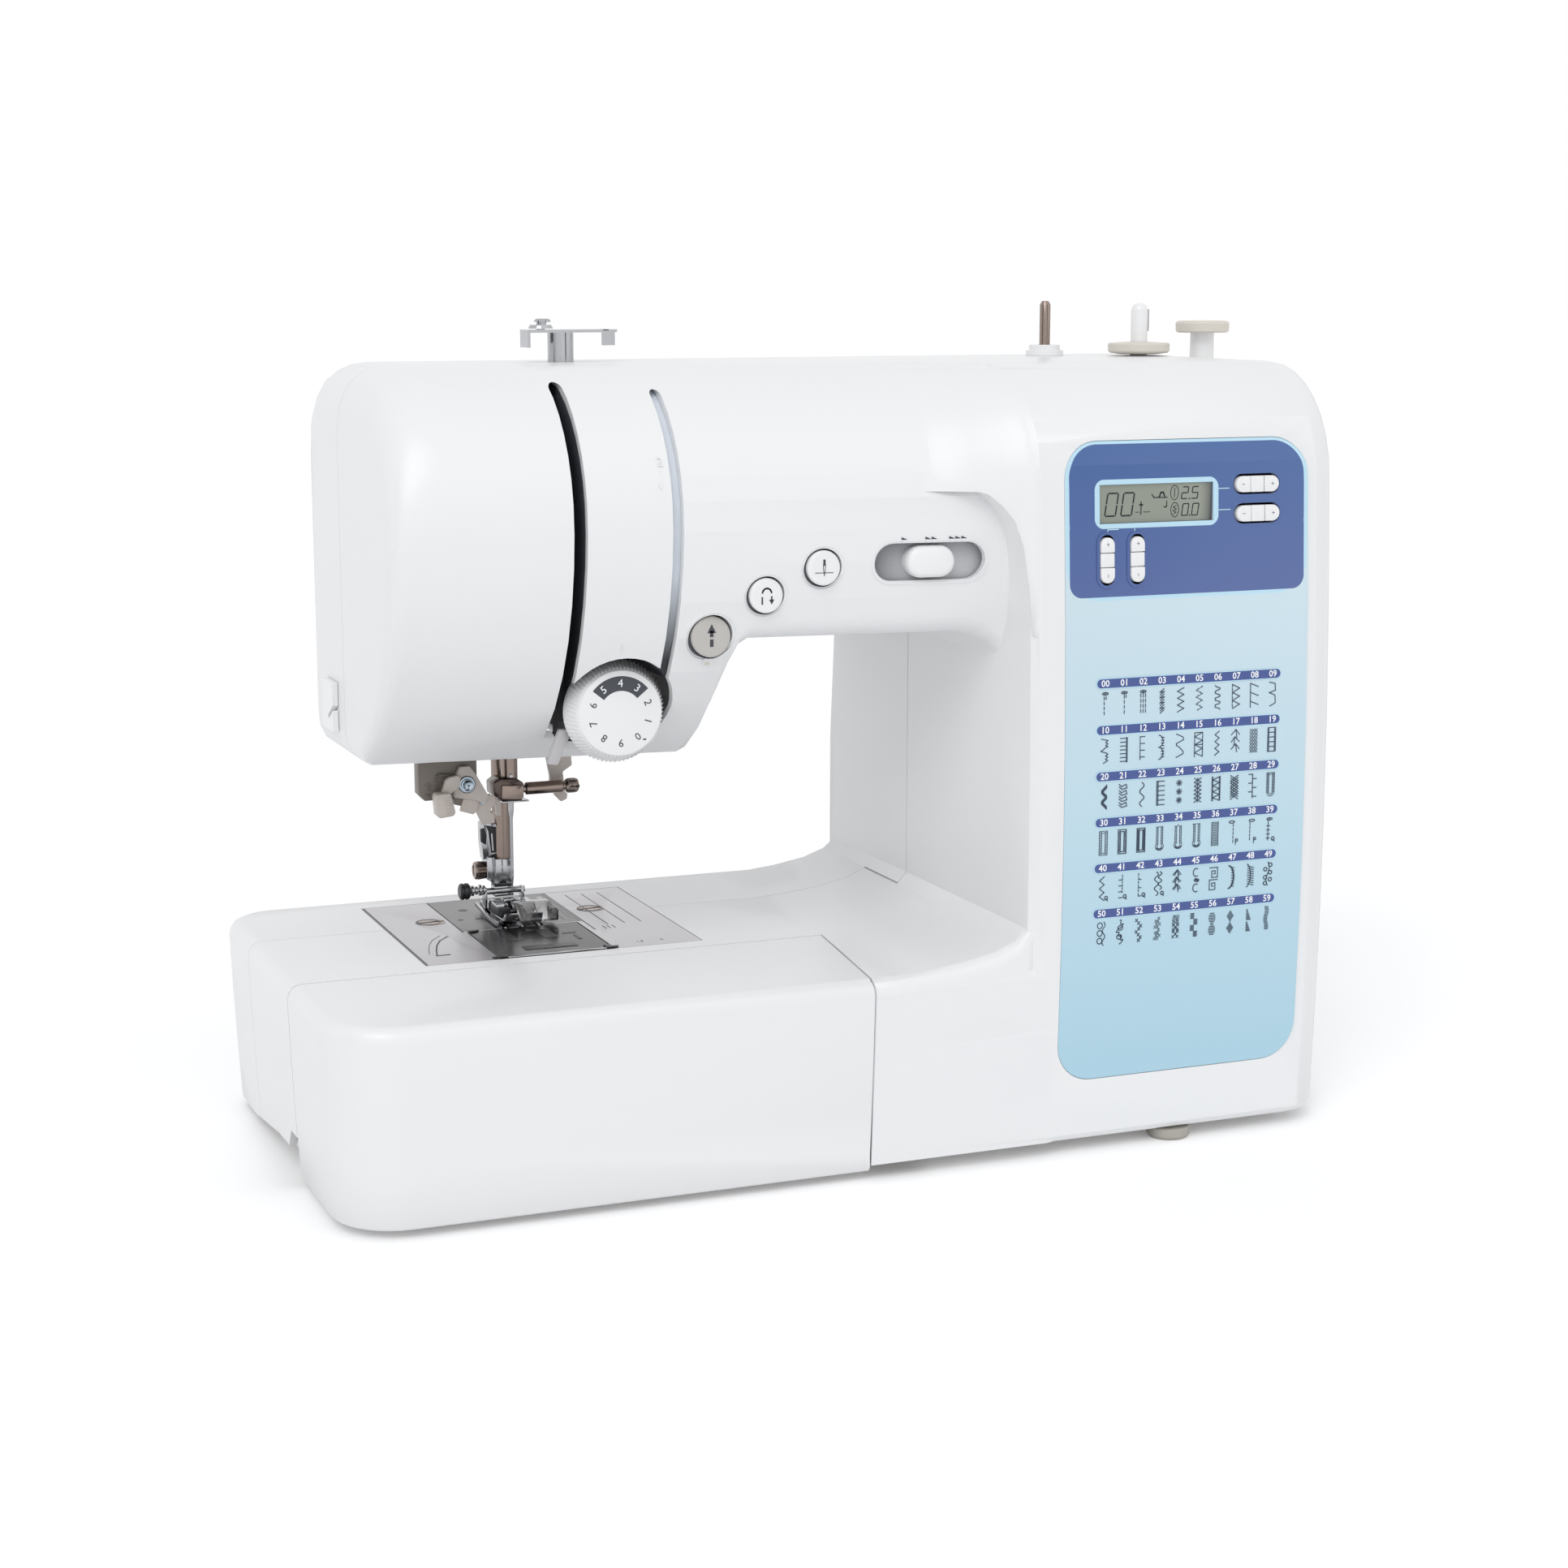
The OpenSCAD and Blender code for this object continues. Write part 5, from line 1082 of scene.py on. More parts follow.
class MACHINE_OT_dial(Step, bpy.types.Operator):
    """Make the tension dial with its ridges, numbers and dark band"""

    bl_idname = "machine.dial"
    bl_label = "Tension dial"

    def build(self, look):
        """Knurled dial that reads 4."""
        place = at(-96.5, -31.0, 154.5, FACE)
        top, step = 9.0, 36
        dial = lathe([(0, 0), (17.1, 0), (17.1, 1.2), (14.6, 8.2), (14.1, 8.85), (13.4, top), (0, top)], 144)
        for i in range(look.knurls):
            ridge = bmesh.new()
            a, b, c, d, low, high = [ridge.verts.new(point) for point in (
                (16.9, -0.3, 1.3), (16.9, 0.3, 1.3), (14.4, 1.0, 8.0), (14.4, 0.5, 8.0),
                (17.7, 0, 1.6), (15.25, 0.75, 7.8))]
            for face in ((a, d, c, b), (a, b, low), (b, c, high, low), (c, d, high), (d, a, low, high)):
                ridge.faces.new(face)
            join(dial, closed(ridge), place=turned(360 * i / look.knurls))
        dial.transform(place)
        own("tension_dial", dial, "trim", 30, "_cap")
        band, dark, light = bmesh.new(), bmesh.new(), bmesh.new()
        steps = [math.radians(90 + a) for a in range(-51, 52, 3)]
        outline = [(12.3 * math.cos(a), 12.3 * math.sin(a)) for a in steps]
        outline += [(7.4 * math.cos(a), 7.4 * math.sin(a)) for a in reversed(steps)]
        join(band, plate(outline, 0.04))
        for number in range(10):
            lean = (number - 4) * step
            sign = put(lettering(str(number), 3.7, 0.03), 0, 9.85, PRINT)
            join(light if number in (3, 4, 5) else dark, sign, place=turned(lean))
        join(dark, put(block((1.1, 0.5, 0.04)), 8.2, -9.2, 0.02))
        for name, bm, material in (("dial_band", band, "dark"), ("dial_numbers", dark, "ink"),
                                   ("dial_reading", light, "white_ink")):
            bm.transform(place @ at(0, 0, top + 0.01))
            prints(name, "tension_dial", bm, material)


class MACHINE_OT_marks(Step, bpy.types.Operator):
    """Make the raised threading marks beside the thread slots"""

    bl_idname = "machine.marks"
    bl_label = "Threading marks"

    def build(self, look):
        """Number and arrow moulded on the strip between the slots."""
        marks = put(lettering("2", 4.2, 0.3), -87.6, 237.4, 0)
        stroke(marks, [(-87.8, 234.4), (-88.0, 229.6)], 0.45, 0.15)
        join(marks, plate([(-88.9, 230.4), (-87.2, 230.4), (-88.1, 228.6)], 0.15))
        stroke(marks, [(-98.7, 178.4), (-98.7, 175.6)], 0.4, 0.15)
        prints("threading_marks", "front_cover", lay(marks, arm_y, -0.02), "shell")


# ---------------------------------------------------------------- bed and needle


class MACHINE_OT_bed(Step, bpy.types.Operator):
    """Dress the needle plate and the bobbin cover with their lines, holes and catches"""

    bl_idname = "machine.bed"
    bl_label = "Bed"

    def build(self, look):
        """Plate, inlay, guide lines, screws and bobbin cover."""
        dressed("needle_plate", "needle_plate_top", "brushed", 0.25)
        dressed("needle_plate_screws", "plate_screws", "bronze", 0.2)
        flat, ink, holes = bmesh.new(), bmesh.new(), bmesh.new()
        for x0, x1, y0, y1 in ((-133.2, -88.4, 57.4, 76.2), (-133.2, -119, 28.4, 57.4),
                               (-115.4, -112.8, 28.4, 38.2), (-115.4, -112.8, 42.6, 57.4),
                               (-109.2, -106.6, 28.4, 38.2), (-109.2, -106.6, 42.6, 57.4),
                               (-103, -88.4, 28.4, 57.4)):
            join(flat, plate([(x0, y0), (x1, y0), (x1, y1), (x0, y1)], 0.03))
        self.lines(ink)
        for x, y, radius in ((-124.2, 60, 1.7), (-129, 45.5, 1.0), (-122.3, 45, 1.4)):
            join(holes, put(rod(radius, 0.04, sides=24), x, y, 0.03))
        for x in (-140.7, -80.3):
            join(holes, put(ring(4.05, 4.45, 0.04), x, 46.5, 0.02),
                 put(block((7.2, 1.0, 0.04)), x, 46.5, 0.04, turned(12)))
        for name, bm, material in (("plate_inlay", flat, "inlay"), ("plate_lines", ink, "ink"),
                                   ("plate_holes", holes, "black")):
            prints(name, "needle_plate", put(bm, 0, 0, BED_Z + 0.012), material)
        dressed("bobbin_cover", "bobbin_cover_top", "smoked", 0.3)
        # Black marks on the smoked cover: the bar over its front slot and the two long stripes are painted
        # shadow; the three outlines are its catches, and three small dark marks sit near its right end.
        dark = put(pill(19, 5.6, 0.12, 0.6, 0.03), -111, -4.2, 0)
        for x0, x1, y0, y1 in ((-109.2, -104.2, 8, 26.4), (-122, -118.4, 8, 26.4), (-98.5, -97.3, 2, 9),
                               (-101.5, -96.5, 12, 12.8), (-103, -101.8, 15, 19)):
            join(dark, box_between((x0, y0, 0), (x1, y1, 0.1)))
        for outline in ([(-131.4, -10.5), (-129.2, -10.5), (-129.0, -14.9), (-133.6, -15.0),
                         (-134.2, -13.2), (-131.6, -13)],
                        [(-91.6, -10.5), (-93.8, -10.5), (-94.0, -14.9), (-89.8, -15.0),
                         (-89.2, -13.2), (-91.5, -13)],
                        [(-131.4, 27), (-127.5, 27), (-128.6, 25.4), (-131.4, 24.8)]):
            join(dark, plate(outline, 0.5, 0.1))
        bright = group_of(box_between((-129, -15.05, -0.2), (-94, -14.1, 0.35), 0.1),
                          box_between((-112, 21.5, 0), (-104, 22.1, 0.12)))
        # the marks piece holds painted shadow as well as the catches
        for name, bm, material in (("marks", dark, "black"), ("edge", bright, "chrome")):
            extra("bobbin_cover_" + name, "bobbin_cover", put(bm, 0, 0, BED_Z + 0.01), material)

    def lines(self, bm):
        """Guide lines, ticks, the curved groove and the two numbers of the plate."""
        for x, low, high, width in ((-88.7, 14, 76, 0.4), (-89.9, 28, 76, 0.25), (-91.4, 35, 67, 0.25),
                                    (-82, 20, 70, 0.3), (-75.8, 20, 70, 0.3), (-69.6, 20, 70, 0.3),
                                    (-84.6, 14, 18, 0.3), (-83, 14, 18, 0.3), (-81.2, 14, 18, 0.3),
                                    (-97.6, 35, 40, 0.3), (-94.4, 32, 40, 0.3), (-133.3, 27, 76, 0.55),
                                    (-157.1, -14.6, 76, 0.5)):
            stroke(bm, [(x, low), (x, high)], width, 0.04)
        groove = [(-140, 23), (-144.2, 17.5), (-147, 11), (-149, 4), (-150.4, -2)]
        for points, width in ((groove, 0.55), ([(-150.6, -3.2), (-146.4, -3.0)], 1.0),
                              ([(x - 2.2, y + 1.8) for x, y in groove], 0.25)):
            stroke(bm, points, width, 0.04)
        for words, x in (("1.5", -80), ("2", -72)):
            join(bm, put(lettering(words, 2.2, 0.03), x, -9, 0))


# Finish and softened edge of the small parts that keep their solids
NEEDLE_PARTS = {"needle_bar": ("bronze", 0.25), "needle": ("chrome", 0.05),
                "presser_bar": ("bronze", 0.25), "feed_dog": ("chrome", 0.05),
                "take_up_lever": ("chrome", 0.2), "presser_lever": ("pale", 0.4),
                "lamp": ("lens", 0.3)}
CLAMP_SCREW = (-107.4, 40.4, 116.2)
FOOT_SCREW = (-114.6, 53.4, 84.9)
FOOT_KNOB_Y, FOOT_KNOB_Z = 46.6, 79.1
THREADER_X, THREADER_Z = -130.6, 121.5


class MACHINE_OT_needle(Step, bpy.types.Operator):
    """Make the needle clamp, the foot with its holder, the threader and the thread hook"""

    bl_idname = "machine.needle"
    bl_label = "Needle and foot"

    def build(self, look):
        """Bars with softened edges, and the parts that are drawn anew."""
        for name, (material, edge) in NEEDLE_PARTS.items():
            dressed(name, name + "_part", material, edge)
        for part in (self.clamp, self.holder, self.foot, self.threader, self.hook):
            part()

    def clamp(self):
        """Needle clamp with its screw and the small thread leaf."""
        body = slab([(-118.2, 119.2), (-115.6, 120.8), (-109.4, 120.5), (-106.9, 118.8), (-106.9, 113.9),
                     (-108.7, 112.6), (-114.5, 112.6), (-118.0, 114.8)], 47.2, 37.6, 0.6)
        collar = put(rod(4.6, 2.2, sides=40, edge=0.4), -111, 42, 112)
        # The body takes the painted-shade copy of the steel, and the face below takes the lit steel
        own("needle_clamp", group_of(body, collar), "bronze_dark")
        face = slab([(-115.3, 118.6), (-107.7, 118.3), (-107.1, 117.5), (-107.2, 113.8), (-108.2, 112.8),
                     (-114.6, 113.2), (-115.4, 114.4)], 38.2, 36.8, 0.45)
        extra("needle_clamp_face", "needle_clamp", face, "bronze")
        leaf = box_between((-115.2, 36.4, 112.2), (-105.4, 41.5, 112.7), 0.1)
        pin = put(rod(0.7, 0.8, sides=16, edge=0.15), -111.4, 38.9, 121.4, FACE)
        extra("needle_clamp_leaf", "needle_clamp", group_of(leaf, pin), "chrome")
        shaft = lathe([(0, 0), (1.4, 0), (1.4, 1.6), (2.15, 1.9), (2.25, 2.2), (2.25, 15.2),
                       (2.0, 15.5), (1.3, 15.6), (1.3, 16.4), (1.9, 16.5), (2.55, 17.2), (2.6, 20.6),
                       (2.3, 21.1), (0, 21.1)], 40)
        own("needle_clamp_screw", put(shaft, *CLAMP_SCREW, RIGHT), "bronze")
        slots = box_between((-87.3, 37.7, 115.7), (-86.2, 43.1, 116.7))
        head = at(-88.6, *CLAMP_SCREW[1:])
        for k in range(8):
            join(slots, put(block((2.6, 0.55, 0.2)), 0, 0, 2.55), place=head @ turned(45 * k, "X"))
        prints("needle_clamp_slots", "needle_clamp_screw", slots, "black")

    def holder(self):
        """Foot holder: steel block, dark release lever and thumb screw."""
        low, high = (-115.2, 48.6), (-108.2, 54)
        steel = group_of(
            slab([(-114.9, 89.6), (-108.3, 89.2), (-108.3, 80.0), (-115.0, 80.4)], 57, 48.2, 0.35),
            slab([(-117.6, 90), (-114.8, 90), (-114.8, 80), (-117.6, 82)], 57, 50, 0.3),
            slab([(-119.4, 102.4), (-118.2, 102.9), (-116.6, 99.6), (-115.6, 90.6), (-118.6, 89.2),
                  (-119.3, 95.6)], 55, 50.6, 0.2),
            slab([(-119.2, 102.6), (-114.0, 102.2), (-113.4, 100.8), (-117.8, 101.4)], 56, 50.4, 0.2),
            *[box_between((*low, z), (*high, top), 0.15) for z, top in ((78.3, 79.3), (75.7, 77.0))])
        own("foot_holder", steel, "chrome")
        dark = group_of(
            slab([(-117.9, 101.2), (-113.6, 101.4), (-113.0, 99.4), (-111.2, 99.2), (-111.3, 89.4),
                  (-115.6, 89.8), (-116.4, 92.6), (-116.8, 99.4)], 56, 51.2, 0.25),
            slab([(-119.45, 100.6), (-118.4, 101.0), (-117.4, 98.4), (-117.6, 94.6), (-119.4, 95.8)],
                 52, 50.4, 0.1),
            *[box_between((-115.0, 49.2, z), (-108.4, 54, top)) for z, top in ((79.2, 80.1), (77.0, 78.3))])
        extra("foot_holder_dark", "foot_holder", dark, "black")
        lines = group_of(slab([(-115.6, 98.6), (-115.1, 98.6), (-114.7, 92.2), (-115.3, 92.2)], 51.2, 50.9),
                         slab([(-116.4, 91.4), (-112.6, 91.8), (-112.6, 91.3), (-116.4, 90.9)], 51.2, 50.7))
        prints("foot_holder_lines", "foot_holder", lines, "chrome")
        place = at(*FOOT_SCREW, LEFT)
        screw = lathe([(0, 0), (1.6, 0), (1.6, 0.8), (2.7, 0.9), (3.25, 6.4), (2.9, 6.9), (2.0, 7.0),
                       (1.8, 6.7), (0, 6.7)], 48)
        screw.transform(place)
        own("foot_holder_screw", screw, "bronze")
        # Darker flutes round the thumb screw: painted shade in the grooves of its knurl
        flutes, count, taper = bmesh.new(), 14, 0.098
        for k in range(count):
            flute = box_between((2.72, -0.22, 1.4), (3.02, 0.22, 5.6))
            for vert in flute.verts:
                vert.co.x += taper * (vert.co.z - 1.4) - 0.06
            join(flutes, flute, place=place @ turned(360 * k / count))
        prints("foot_screw_flutes", "foot_holder_screw", flutes, "bronze_dark")

    def foot(self):
        """Presser foot: steel sole and bars, clear front and black release knob."""
        runner = [(57, 72.6), (57, 71.2), (40, 69.6), (30, 69.5), (26.5, 70.2), (25.6, 71.6), (26.6, 72.0),
                  (30, 70.9), (40, 71.0)]
        sole = [(58, 72.8), (57, 70.4), (33, 69.6), (28, 70.1), (25.2, 71.9), (24.4, 74.2), (25.4, 74.6),
                (28.4, 72.2), (40, 71.6)]
        steel = group_of(side_slab(runner, -120.6, -119.4, 0.2), side_slab(sole, -118.4, -113.6, 0.25),
                         side_slab(sole, -108.6, -104.6, 0.25))
        for low, high, edge in (((-118.4, 43.6, 70), (-104.6, 58, 71.8), 0.3),
                                ((-118.2, 36.2, 73.4), (-113.9, 46, 75.7), 0.4),
                                ((-113.5, 43.4, 73.4), (-108.4, 46.4, 75.7), 0.3),
                                ((-112.9, 34.4, 73.4), (-108.4, 37.6, 75.7), 0.4),
                                ((-107.6, 35.8, 73.4), (-104.3, 46, 75.6), 0.4),
                                ((-119.4, 47.8, 71.4), (-118.2, 51, 79.0), 0.3),
                                ((-105.6, 47.8, 71.4), (-104.4, 51, 79.0), 0.3)):
            join(steel, box_between(low, high, edge))
        join(steel, put(rod(1.2, 16, sides=20, edge=0.2), -120, 49.2, 77.8, RIGHT))
        for x, radius in ((-124.6, 1.9), (-123.2, 1.5), (-121.8, 2.0), (-120.4, 1.6)):
            join(steel, put(rod(radius, 0.8, sides=24, edge=0.15), x, FOOT_KNOB_Y, FOOT_KNOB_Z, RIGHT))
        join(steel, put(rod(0.8, 7, sides=16), -126, FOOT_KNOB_Y, FOOT_KNOB_Z, RIGHT))
        own("presser_foot", steel, "chrome")
        knob = lathe([(0, 0), (2.2, 0), (2.9, 0.5), (3.0, 1.2), (2.7, 1.8), (3.0, 2.4), (2.9, 3.2),
                      (2.2, 3.8), (0, 3.8)], 32)
        dark = group_of(put(knob, -129, FOOT_KNOB_Y, FOOT_KNOB_Z, RIGHT),
                        box_between((-118.3, 34, 71.8), (-113.7, 47, 74.4), 0.2),
                        box_between((-108.5, 34, 71.8), (-104.7, 47, 74.4), 0.2),
                        box_between((-101.4, 26.4, 70.4), (-98.2, 34.5, 74.4), 0.5),
                        box_between((-113.8, 43, 71.8), (-108.4, 48, 75.0)))
        extra("presser_foot_dark", "presser_foot", dark, "black")
        pane = [(26.0, 70.6), (24.2, 71.8), (30.6, 76.2), (37.4, 76.2), (37.4, 75.0), (31.6, 74.9)]
        clear = group_of(side_slab(pane, -112.6, -99.6, 0.15),
                         box_between((-101.2, 24.6, 71.0), (-99.4, 45, 75.4), 0.3))
        extra("presser_foot_clear", "presser_foot", clear, "clear")
        line = [(25.4, 71.9), (24.9, 72.3), (30.6, 76.32), (31.0, 76.1)]
        lines = group_of(*[side_slab(line, x, x + 0.35) for x in (-111.8, -106.2, -101.2)])
        prints("presser_foot_lines", "presser_foot", lines, "chrome")

    def threader(self):
        """Needle threader: plate with scale, bracket, hook guard, washer and lever."""
        body = group_of(
            slab([(-147.2, 133.8), (-147.2, 118.6), (-145.0, 116.2), (-130, 116.2), (-126.2, 120),
                  (-126.2, 133.8)], 36, 30, 0.35),
            box_between((-131, 31, 132), (-126, 35, 178.5)),
            slab([(-134.9, 117), (-132, 117), (-132, 113.6), (-134.9, 114.4)], 33, 29, 0.3),
            slab([(-144.1, 122.8), (-145.4, 121.3), (-144.7, 121.3), (-144.7, 119.8), (-143.5, 119.8),
                  (-143.5, 121.3), (-142.8, 121.3)], 30.1, 29.75, 0.08),
            box_between((-144.9, 29.75, 117.2), (-143.3, 30.1, 118.7), 0.1),
            *[box_between((-141.7, 29.6, 119.5 + k), (-140.4, 30.1, 120.0 + k), 0.08) for k in range(6)])
        own("threader", body, "beige")
        rib = slab([(-140.5, 125.7), (-140.5, 124.5), (-135.6, 124.0), (-133.0, 124.4), (-135.6, 125.4)],
                   30, 28.6, 0.2)
        extra("threader_rib", "threader", rib, "beige_dark")
        bracket = group_of(
            slab([(-135.1, 120.4), (-135.1, 117.0), (-128.4, 115.9), (-124.8, 114.4), (-122.6, 116.6),
                  (-127.0, 124.6), (-129.4, 128), (-132.8, 128), (-134.4, 124.8)], 30.2, 27.6, 0.35),
            slab([(-131.7, 116.4), (-132.9, 112.0), (-128.2, 110.5), (-127.0, 111.4), (-125.8, 116)],
                 30, 28.6, 0.2),
            slab([(-126.2, 115.4), (-126.6, 111.0), (-124.5, 106.2), (-119.9, 106.6), (-120.2, 109.6),
                  (-121.6, 110.6), (-121.0, 112.0), (-119.8, 113.0), (-119.7, 115.7), (-121.4, 117.0)],
                 32, 30.4, 0.25),
            slab([(-119.9, 115.7), (-116.9, 113.4), (-116.9, 108.3), (-118.1, 108.4), (-118.3, 112.2),
                  (-119.9, 113.2)], 36, 33.6, 0.2),
            slab([(-121.3, 110.6), (-121.3, 109.2), (-119.7, 108.8), (-118.8, 109.8), (-119.6, 110.4)],
                 34, 32.6, 0.1))
        extra("threader_bracket", "threader", bracket, "pale")
        washer = lathe([(0, 0), (3.0, 0), (3.05, 0.35), (2.8, 0.6), (2.3, 0.65), (2.2, 1.15), (1.9, 1.3),
                        (1.75, 1.35), (1.75, 2.8), (1.4, 3.2), (0.9, 3.0), (0, 2.8)], 40)
        rivet = lathe([(0, 0), (1.0, 0), (0.9, 0.4), (0, 0.6)], 24)
        extra("threader_screw", "threader", group_of(put(washer, THREADER_X, 27.7, THREADER_Z, FACE),
                                                     put(rivet, -124.4, 30.2, 114.6, FACE)), "steel_blue")
        cross = bmesh.new()
        for points in ([(-0.9, 0), (0.9, 0)], [(0, -0.9), (0, 0.9)]):
            stroke(cross, points, 0.4, 0.1)
        put(cross, THREADER_X, 24.92, THREADER_Z, FACE)
        for radius, y in ((1.62, 26.5), (2.72, 27.1)):
            join(cross, put(ring(radius, radius + 0.2, 0.08), THREADER_X, y, THREADER_Z, FACE))
        prints("threader_screw_cross", "threader", cross, "black")
        lever = group_of(
            slab([(-140.3, 119.0), (-138.7, 123.8), (-137.6, 124.8), (-134.4, 125.4), (-133.3, 124.6),
                  (-133.5, 121.1), (-135.9, 119.8), (-137.2, 118.6)], 27.6, 25.2, 0.5),
            slab([(-143.5, 119.2), (-142.8, 119.8), (-138.2, 119.9), (-137.5, 119.2), (-136.1, 112.8),
                  (-136.6, 111.6), (-141.6, 111.1), (-142.9, 112.2)], 27.4, 22.0, 1.1))
        for k in range(7):
            x, z = -138.9 + 0.09 * k, 118.05 - 0.95 * k
            join(lever, box_between((x - 1.35, 21.75, z), (x + 1.35, 22.3, z + 0.4), 0.12))
        own("threader_lever", lever, "pale")

    def hook(self):
        """Thread hook under the head, and the guard strip at the foot of the left slot."""
        blade = slab([(-96.5, 134.6), (-94.8, 122.9), (-94.0, 118.7), (-94.0, 115.9), (-92.4, 111.6),
                      (-90.1, 109.1), (-87.9, 109.9), (-87.6, 111.8), (-88.8, 112.8), (-88.8, 115.5),
                      (-89.3, 120.0), (-85.8, 122.2), (-86.6, 134.6)], 50, 47.4, 0.35)
        base = box_between((-105.4, 12.2, 132.6), (-86.6, 50.5, 134.4), 0.3)
        own("thread_hook", group_of(blade, base), "pale")
        guard = slab([(-114.0, 148.3), (-116.4, 142.6), (-118.3, 137.0), (-114.9, 136.5), (-113.6, 139.4),
                      (-112.2, 142.6), (-110.6, 145.6), (-110.0, 148.3)], -26, -29, 0.4)
        extra("thread_guard", "thread_hook", guard, "hook_grey")


# Finish of the fittings that keep their solids
PLAIN_PARTS = {"spool_pin": "bronze", "spool_pin_base": "trim", "winder_arm": "cast",
               "thread_guide": "chrome", "thread_cutter": "trim", "power_switch": "black",
               "power_sockets": "black", "drop_feed_lever": "dark", "handwheel": "trim"}
WINDER = (127.6, 20)
STOP = (154.5, 20)


class MACHINE_OT_fittings(Step, bpy.types.Operator):
    """Dress the top fittings, the handwheel and the fittings of the sides and the back"""

    bl_idname = "machine.fittings"
    bl_label = "Fittings"

    def build(self, look):
        """Fittings with softened edges, the bobbin winder, its stop and the discs of the thread guide."""
        for name, material in PLAIN_PARTS.items():
            dressed(name, name + "_part", material, look.part_edge / MM)
        spindle = lathe([(0, 0), (3.2, 0), (3.2, 4), (3.9, 4.6), (3.9, 8), (3.1, 9), (3.1, 27.2), (2.6, 28.8),
                         (1.6, 29.6), (0, 29.9)], 40)
        own("winder_spindle", put(spindle, *WINDER, 256.4), "trim")
        seat = lathe([(3.4, 1.6), (7, 1.4), (10.6, 1.9), (11.4, 2.6), (11.4, 5.0), (11.0, 5.5), (5.2, 5.9),
                      (3.4, 5.9), (3.4, 1.6)], 64)
        extra("winder_seat", "winder_spindle", put(seat, *WINDER, 266.2), "seat")
        spring = box_between((130.4, 18.9, 276), (131.2, 21.1, 284), 0.2)
        extra("winder_spring", "winder_spindle", spring, "chrome")
        stem = lathe([(0, 0), (6.4, 0), (6.2, 0.9), (4.6, 1.2), (4.4, 13.6), (0, 13.6)], 48)
        own("bobbin_stop", put(stem, *STOP, 261.8), "trim")
        disc = lathe([(0, 0), (9.2, 0), (9.9, 0.6), (10, 3.4), (9.5, 4.1), (8.8, 4.3), (8.5, 4.0),
                      (0, 4.0)], 64)
        extra("bobbin_stop_disc", "bobbin_stop", put(disc, *STOP, 275.3), "seat")
        discs = lathe([(0, 0), (2.6, 0), (2.6, 0.5), (1.4, 0.7), (1.4, 1.5), (2.9, 1.7), (2.9, 2.2),
                       (2.2, 2.8), (0, 2.9)], 32)
        extra("guide_discs", "thread_guide", put(discs, -101.5, 24.5, 278.9), "chrome")


INNER_PARTS = {"main_frame": "cast", "drive_motor": "motor", "motor_pulley": "chrome",
               "drive_belts": "band", "circuit_board": "board", "shaft_bushes": "brass",
               "upper_shaft": "chrome", "lower_shaft": "chrome", "rotary_hook": "bronze",
               "bobbin_case": "black", "bobbin": "clear", "needle_bar_frame": "cast"}


class MACHINE_OT_mechanism(Step, bpy.types.Operator):
    """Give the pieces inside the covers their finishes"""

    bl_idname = "machine.mechanism"
    bl_label = "Mechanism"

    def build(self, look):
        """Finishes of the inner pieces."""
        for name, material in INNER_PARTS.items():
            mesh = frame["nodes"][name].data
            mesh.materials.clear()
            mesh.materials.append(LOOK[material])


# ---------------------------------------------------------------- stage


def white_backdrop():
    """White floor that keeps the shadow of the machine."""
    material = finish("Backdrop", (0.93, 0.935, 0.94), 0.8, tone=0.0, uneven=0.0, bump=0.0,
                      specular_ior_level=0.1)
    tree = material.node_tree
    shader = tree.nodes["Principled BSDF"].outputs[0]
    lift = node(tree, "Emission", {"Color": (1.0, 0.97, 0.95, 1), "Strength": 0.15}).outputs[0]
    both = node(tree, "AddShader", {0: shader, 1: lift}).outputs[0]
    choice = node(tree, "MixShader", {0: seen_white(tree), 1: shader, 2: both}).outputs[0]
    tree.links.new(choice, tree.nodes["Material Output"].inputs["Surface"])
    return material


def sheet_on_stage(name, material, size, place=Matrix.Identity(4)):
    """Flat sheet that stands for no part of the machine."""
    bm = bmesh.new()
    bmesh.ops.create_grid(bm, x_segments=1, y_segments=1, size=size)
    bm.transform(place)
    mesh = bpy.data.meshes.new(name)
    bm.to_mesh(mesh)
    bm.free()
    mesh.materials.append(material)
    item = bpy.data.objects.new(name, mesh)
    bpy.context.scene.collection.objects.link(item)
    return item


CAMERA = (-0.3842168, -0.8950929, 0.2952826)
CAMERA_DOWN, CAMERA_TURN, FOCAL_LENGTH, SENSOR = 10.3491, -22.0084, 63.596, 36.0
# Turn, strength and spread of the lamps; place and turn of the dark cards
LAMPS = (("sun_key", (46, 0, -38), 0.85, 35), ("sun_fill", (66, 0, 30), 0.3, 90))
CARDS = (("card_left", -1.5, -0.35, 76), ("card_right", 0.75, -1.5, -27))


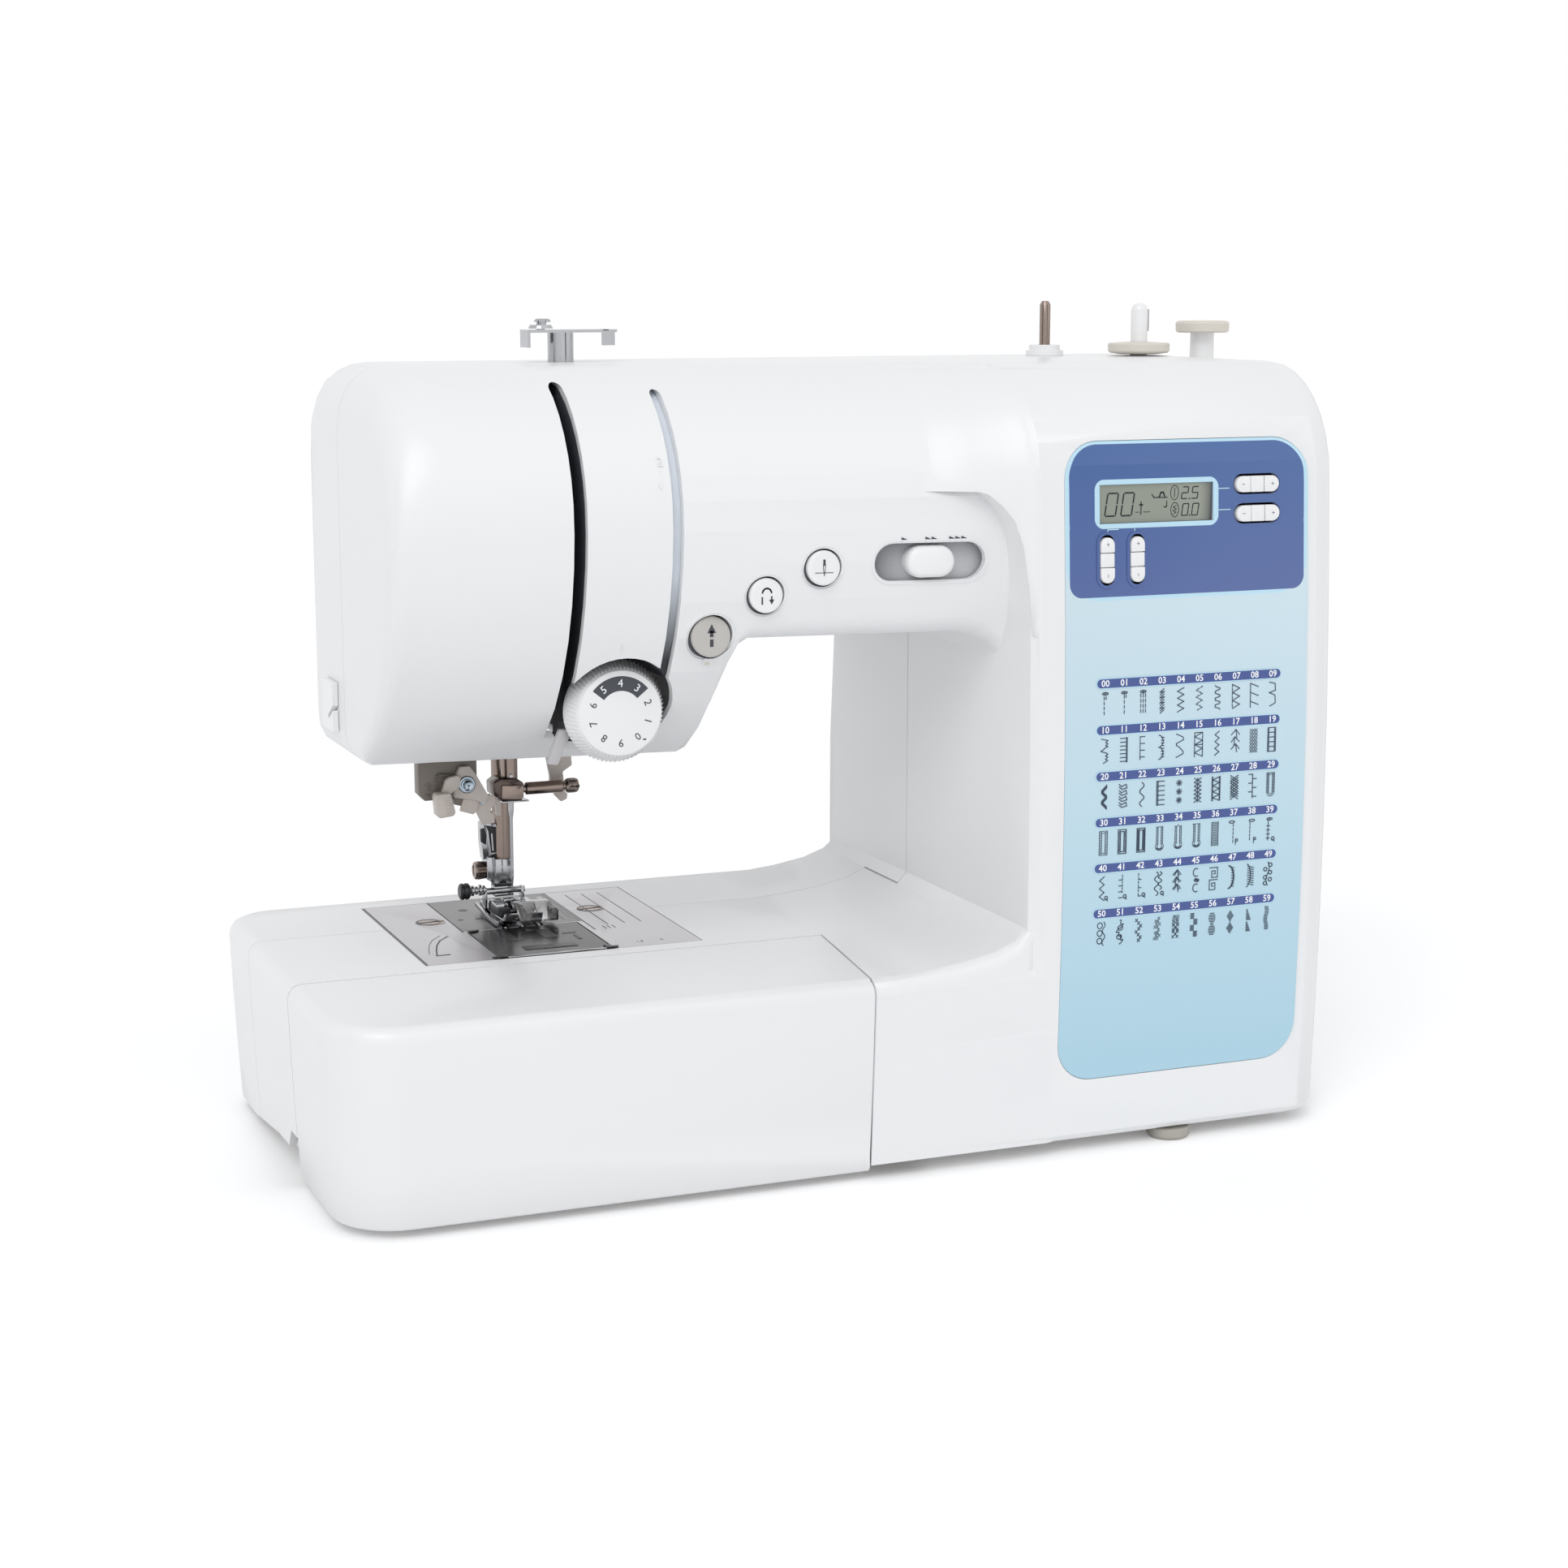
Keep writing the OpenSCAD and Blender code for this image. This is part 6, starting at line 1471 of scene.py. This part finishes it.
class MACHINE_OT_stage(Step, bpy.types.Operator):
    """Set up the floor, the lamps, the world and the camera"""

    bl_idname = "machine.stage"
    bl_label = "Stage"

    def build(self, look):
        """White studio with soft light from the left and above."""
        scene = bpy.context.scene
        scene.view_settings.view_transform = "Standard"
        sheet_on_stage("floor", white_backdrop(), 14)
        world = bpy.data.worlds.new("White room")
        scene.world = world
        world.use_nodes = True
        tree = world.node_tree
        tree.nodes.clear()
        room = node(tree, "Background", {"Color": (0.975, 0.985, 1.0, 1), "Strength": 0.74}).outputs[0]
        white = node(tree, "Background", {"Color": (1, 1, 1, 1), "Strength": 1.0}).outputs[0]
        both = node(tree, "MixShader", {0: seen_white(tree), 1: room, 2: white}).outputs[0]
        node(tree, "OutputWorld", {"Surface": both})
        for name, turn, strength, spread in LAMPS:
            data = bpy.data.lights.new(name, "SUN")
            data.energy, data.angle = strength, math.radians(spread)
            lamp = bpy.data.objects.new(name, data)
            lamp.rotation_euler = [math.radians(a) for a in turn]
            scene.collection.objects.link(lamp)
        for name, x, y, turn in CARDS:
            # Dark cards that only show in the reflections of bright metal
            place = at(x, y, 0.55, turned(turn) @ FACE @ Matrix.Diagonal((0.5, 1.6, 1, 1)))
            card = sheet_on_stage(name, LOOK["black"], 0.5, place)
            card.visible_camera = card.visible_diffuse = False
            card.visible_shadow = card.visible_transmission = False
        lens = bpy.data.cameras.new("camera")
        lens.lens, lens.sensor_width, lens.sensor_fit = FOCAL_LENGTH, SENSOR, "HORIZONTAL"
        lens.clip_start, lens.clip_end = 0.05, 60.0
        camera = bpy.data.objects.new("camera", lens)
        camera.location = CAMERA
        camera.rotation_euler = (math.radians(90 - CAMERA_DOWN), 0, math.radians(CAMERA_TURN))
        scene.collection.objects.link(camera)
        scene.camera = camera


# ---------------------------------------------------------------- add-on

STEPS = (MACHINE_OT_finishes, MACHINE_OT_covers, MACHINE_OT_panel, MACHINE_OT_display, MACHINE_OT_chart,
         MACHINE_OT_arm, MACHINE_OT_dial, MACHINE_OT_marks, MACHINE_OT_bed, MACHINE_OT_needle,
         MACHINE_OT_fittings, MACHINE_OT_mechanism, MACHINE_OT_stage)


class MACHINE_PT_panel(bpy.types.Panel):
    """Settings and building steps of the machine"""

    bl_label = "Sewing machine"
    bl_space_type = "VIEW_3D"
    bl_region_type = "UI"
    bl_category = "Machine"

    def draw(self, context):
        """Lists the settings, then a button for each step."""
        look = context.scene.sewing_machine_look
        for name in look.bl_rna.properties.keys():
            if name not in ("rna_type", "name"):
                self.layout.prop(look, name)
        for step in STEPS:
            self.layout.operator(step.bl_idname)


def register():
    """Adds the settings, the steps and the panel."""
    for item in (SewingMachineLook, *STEPS, MACHINE_PT_panel):
        bpy.utils.register_class(item)
    bpy.types.Scene.sewing_machine_look = bpy.props.PointerProperty(type=SewingMachineLook)


def unregister():
    """Removes them again."""
    del bpy.types.Scene.sewing_machine_look
    for item in (MACHINE_PT_panel, *reversed(STEPS), SewingMachineLook):
        bpy.utils.unregister_class(item)


def main():
    """Builds the machine."""
    register()
    for step in STEPS:
        group_name, name = step.bl_idname.split(".")
        getattr(getattr(bpy.ops, group_name), name)()


if __name__ == "__main__":
    main()
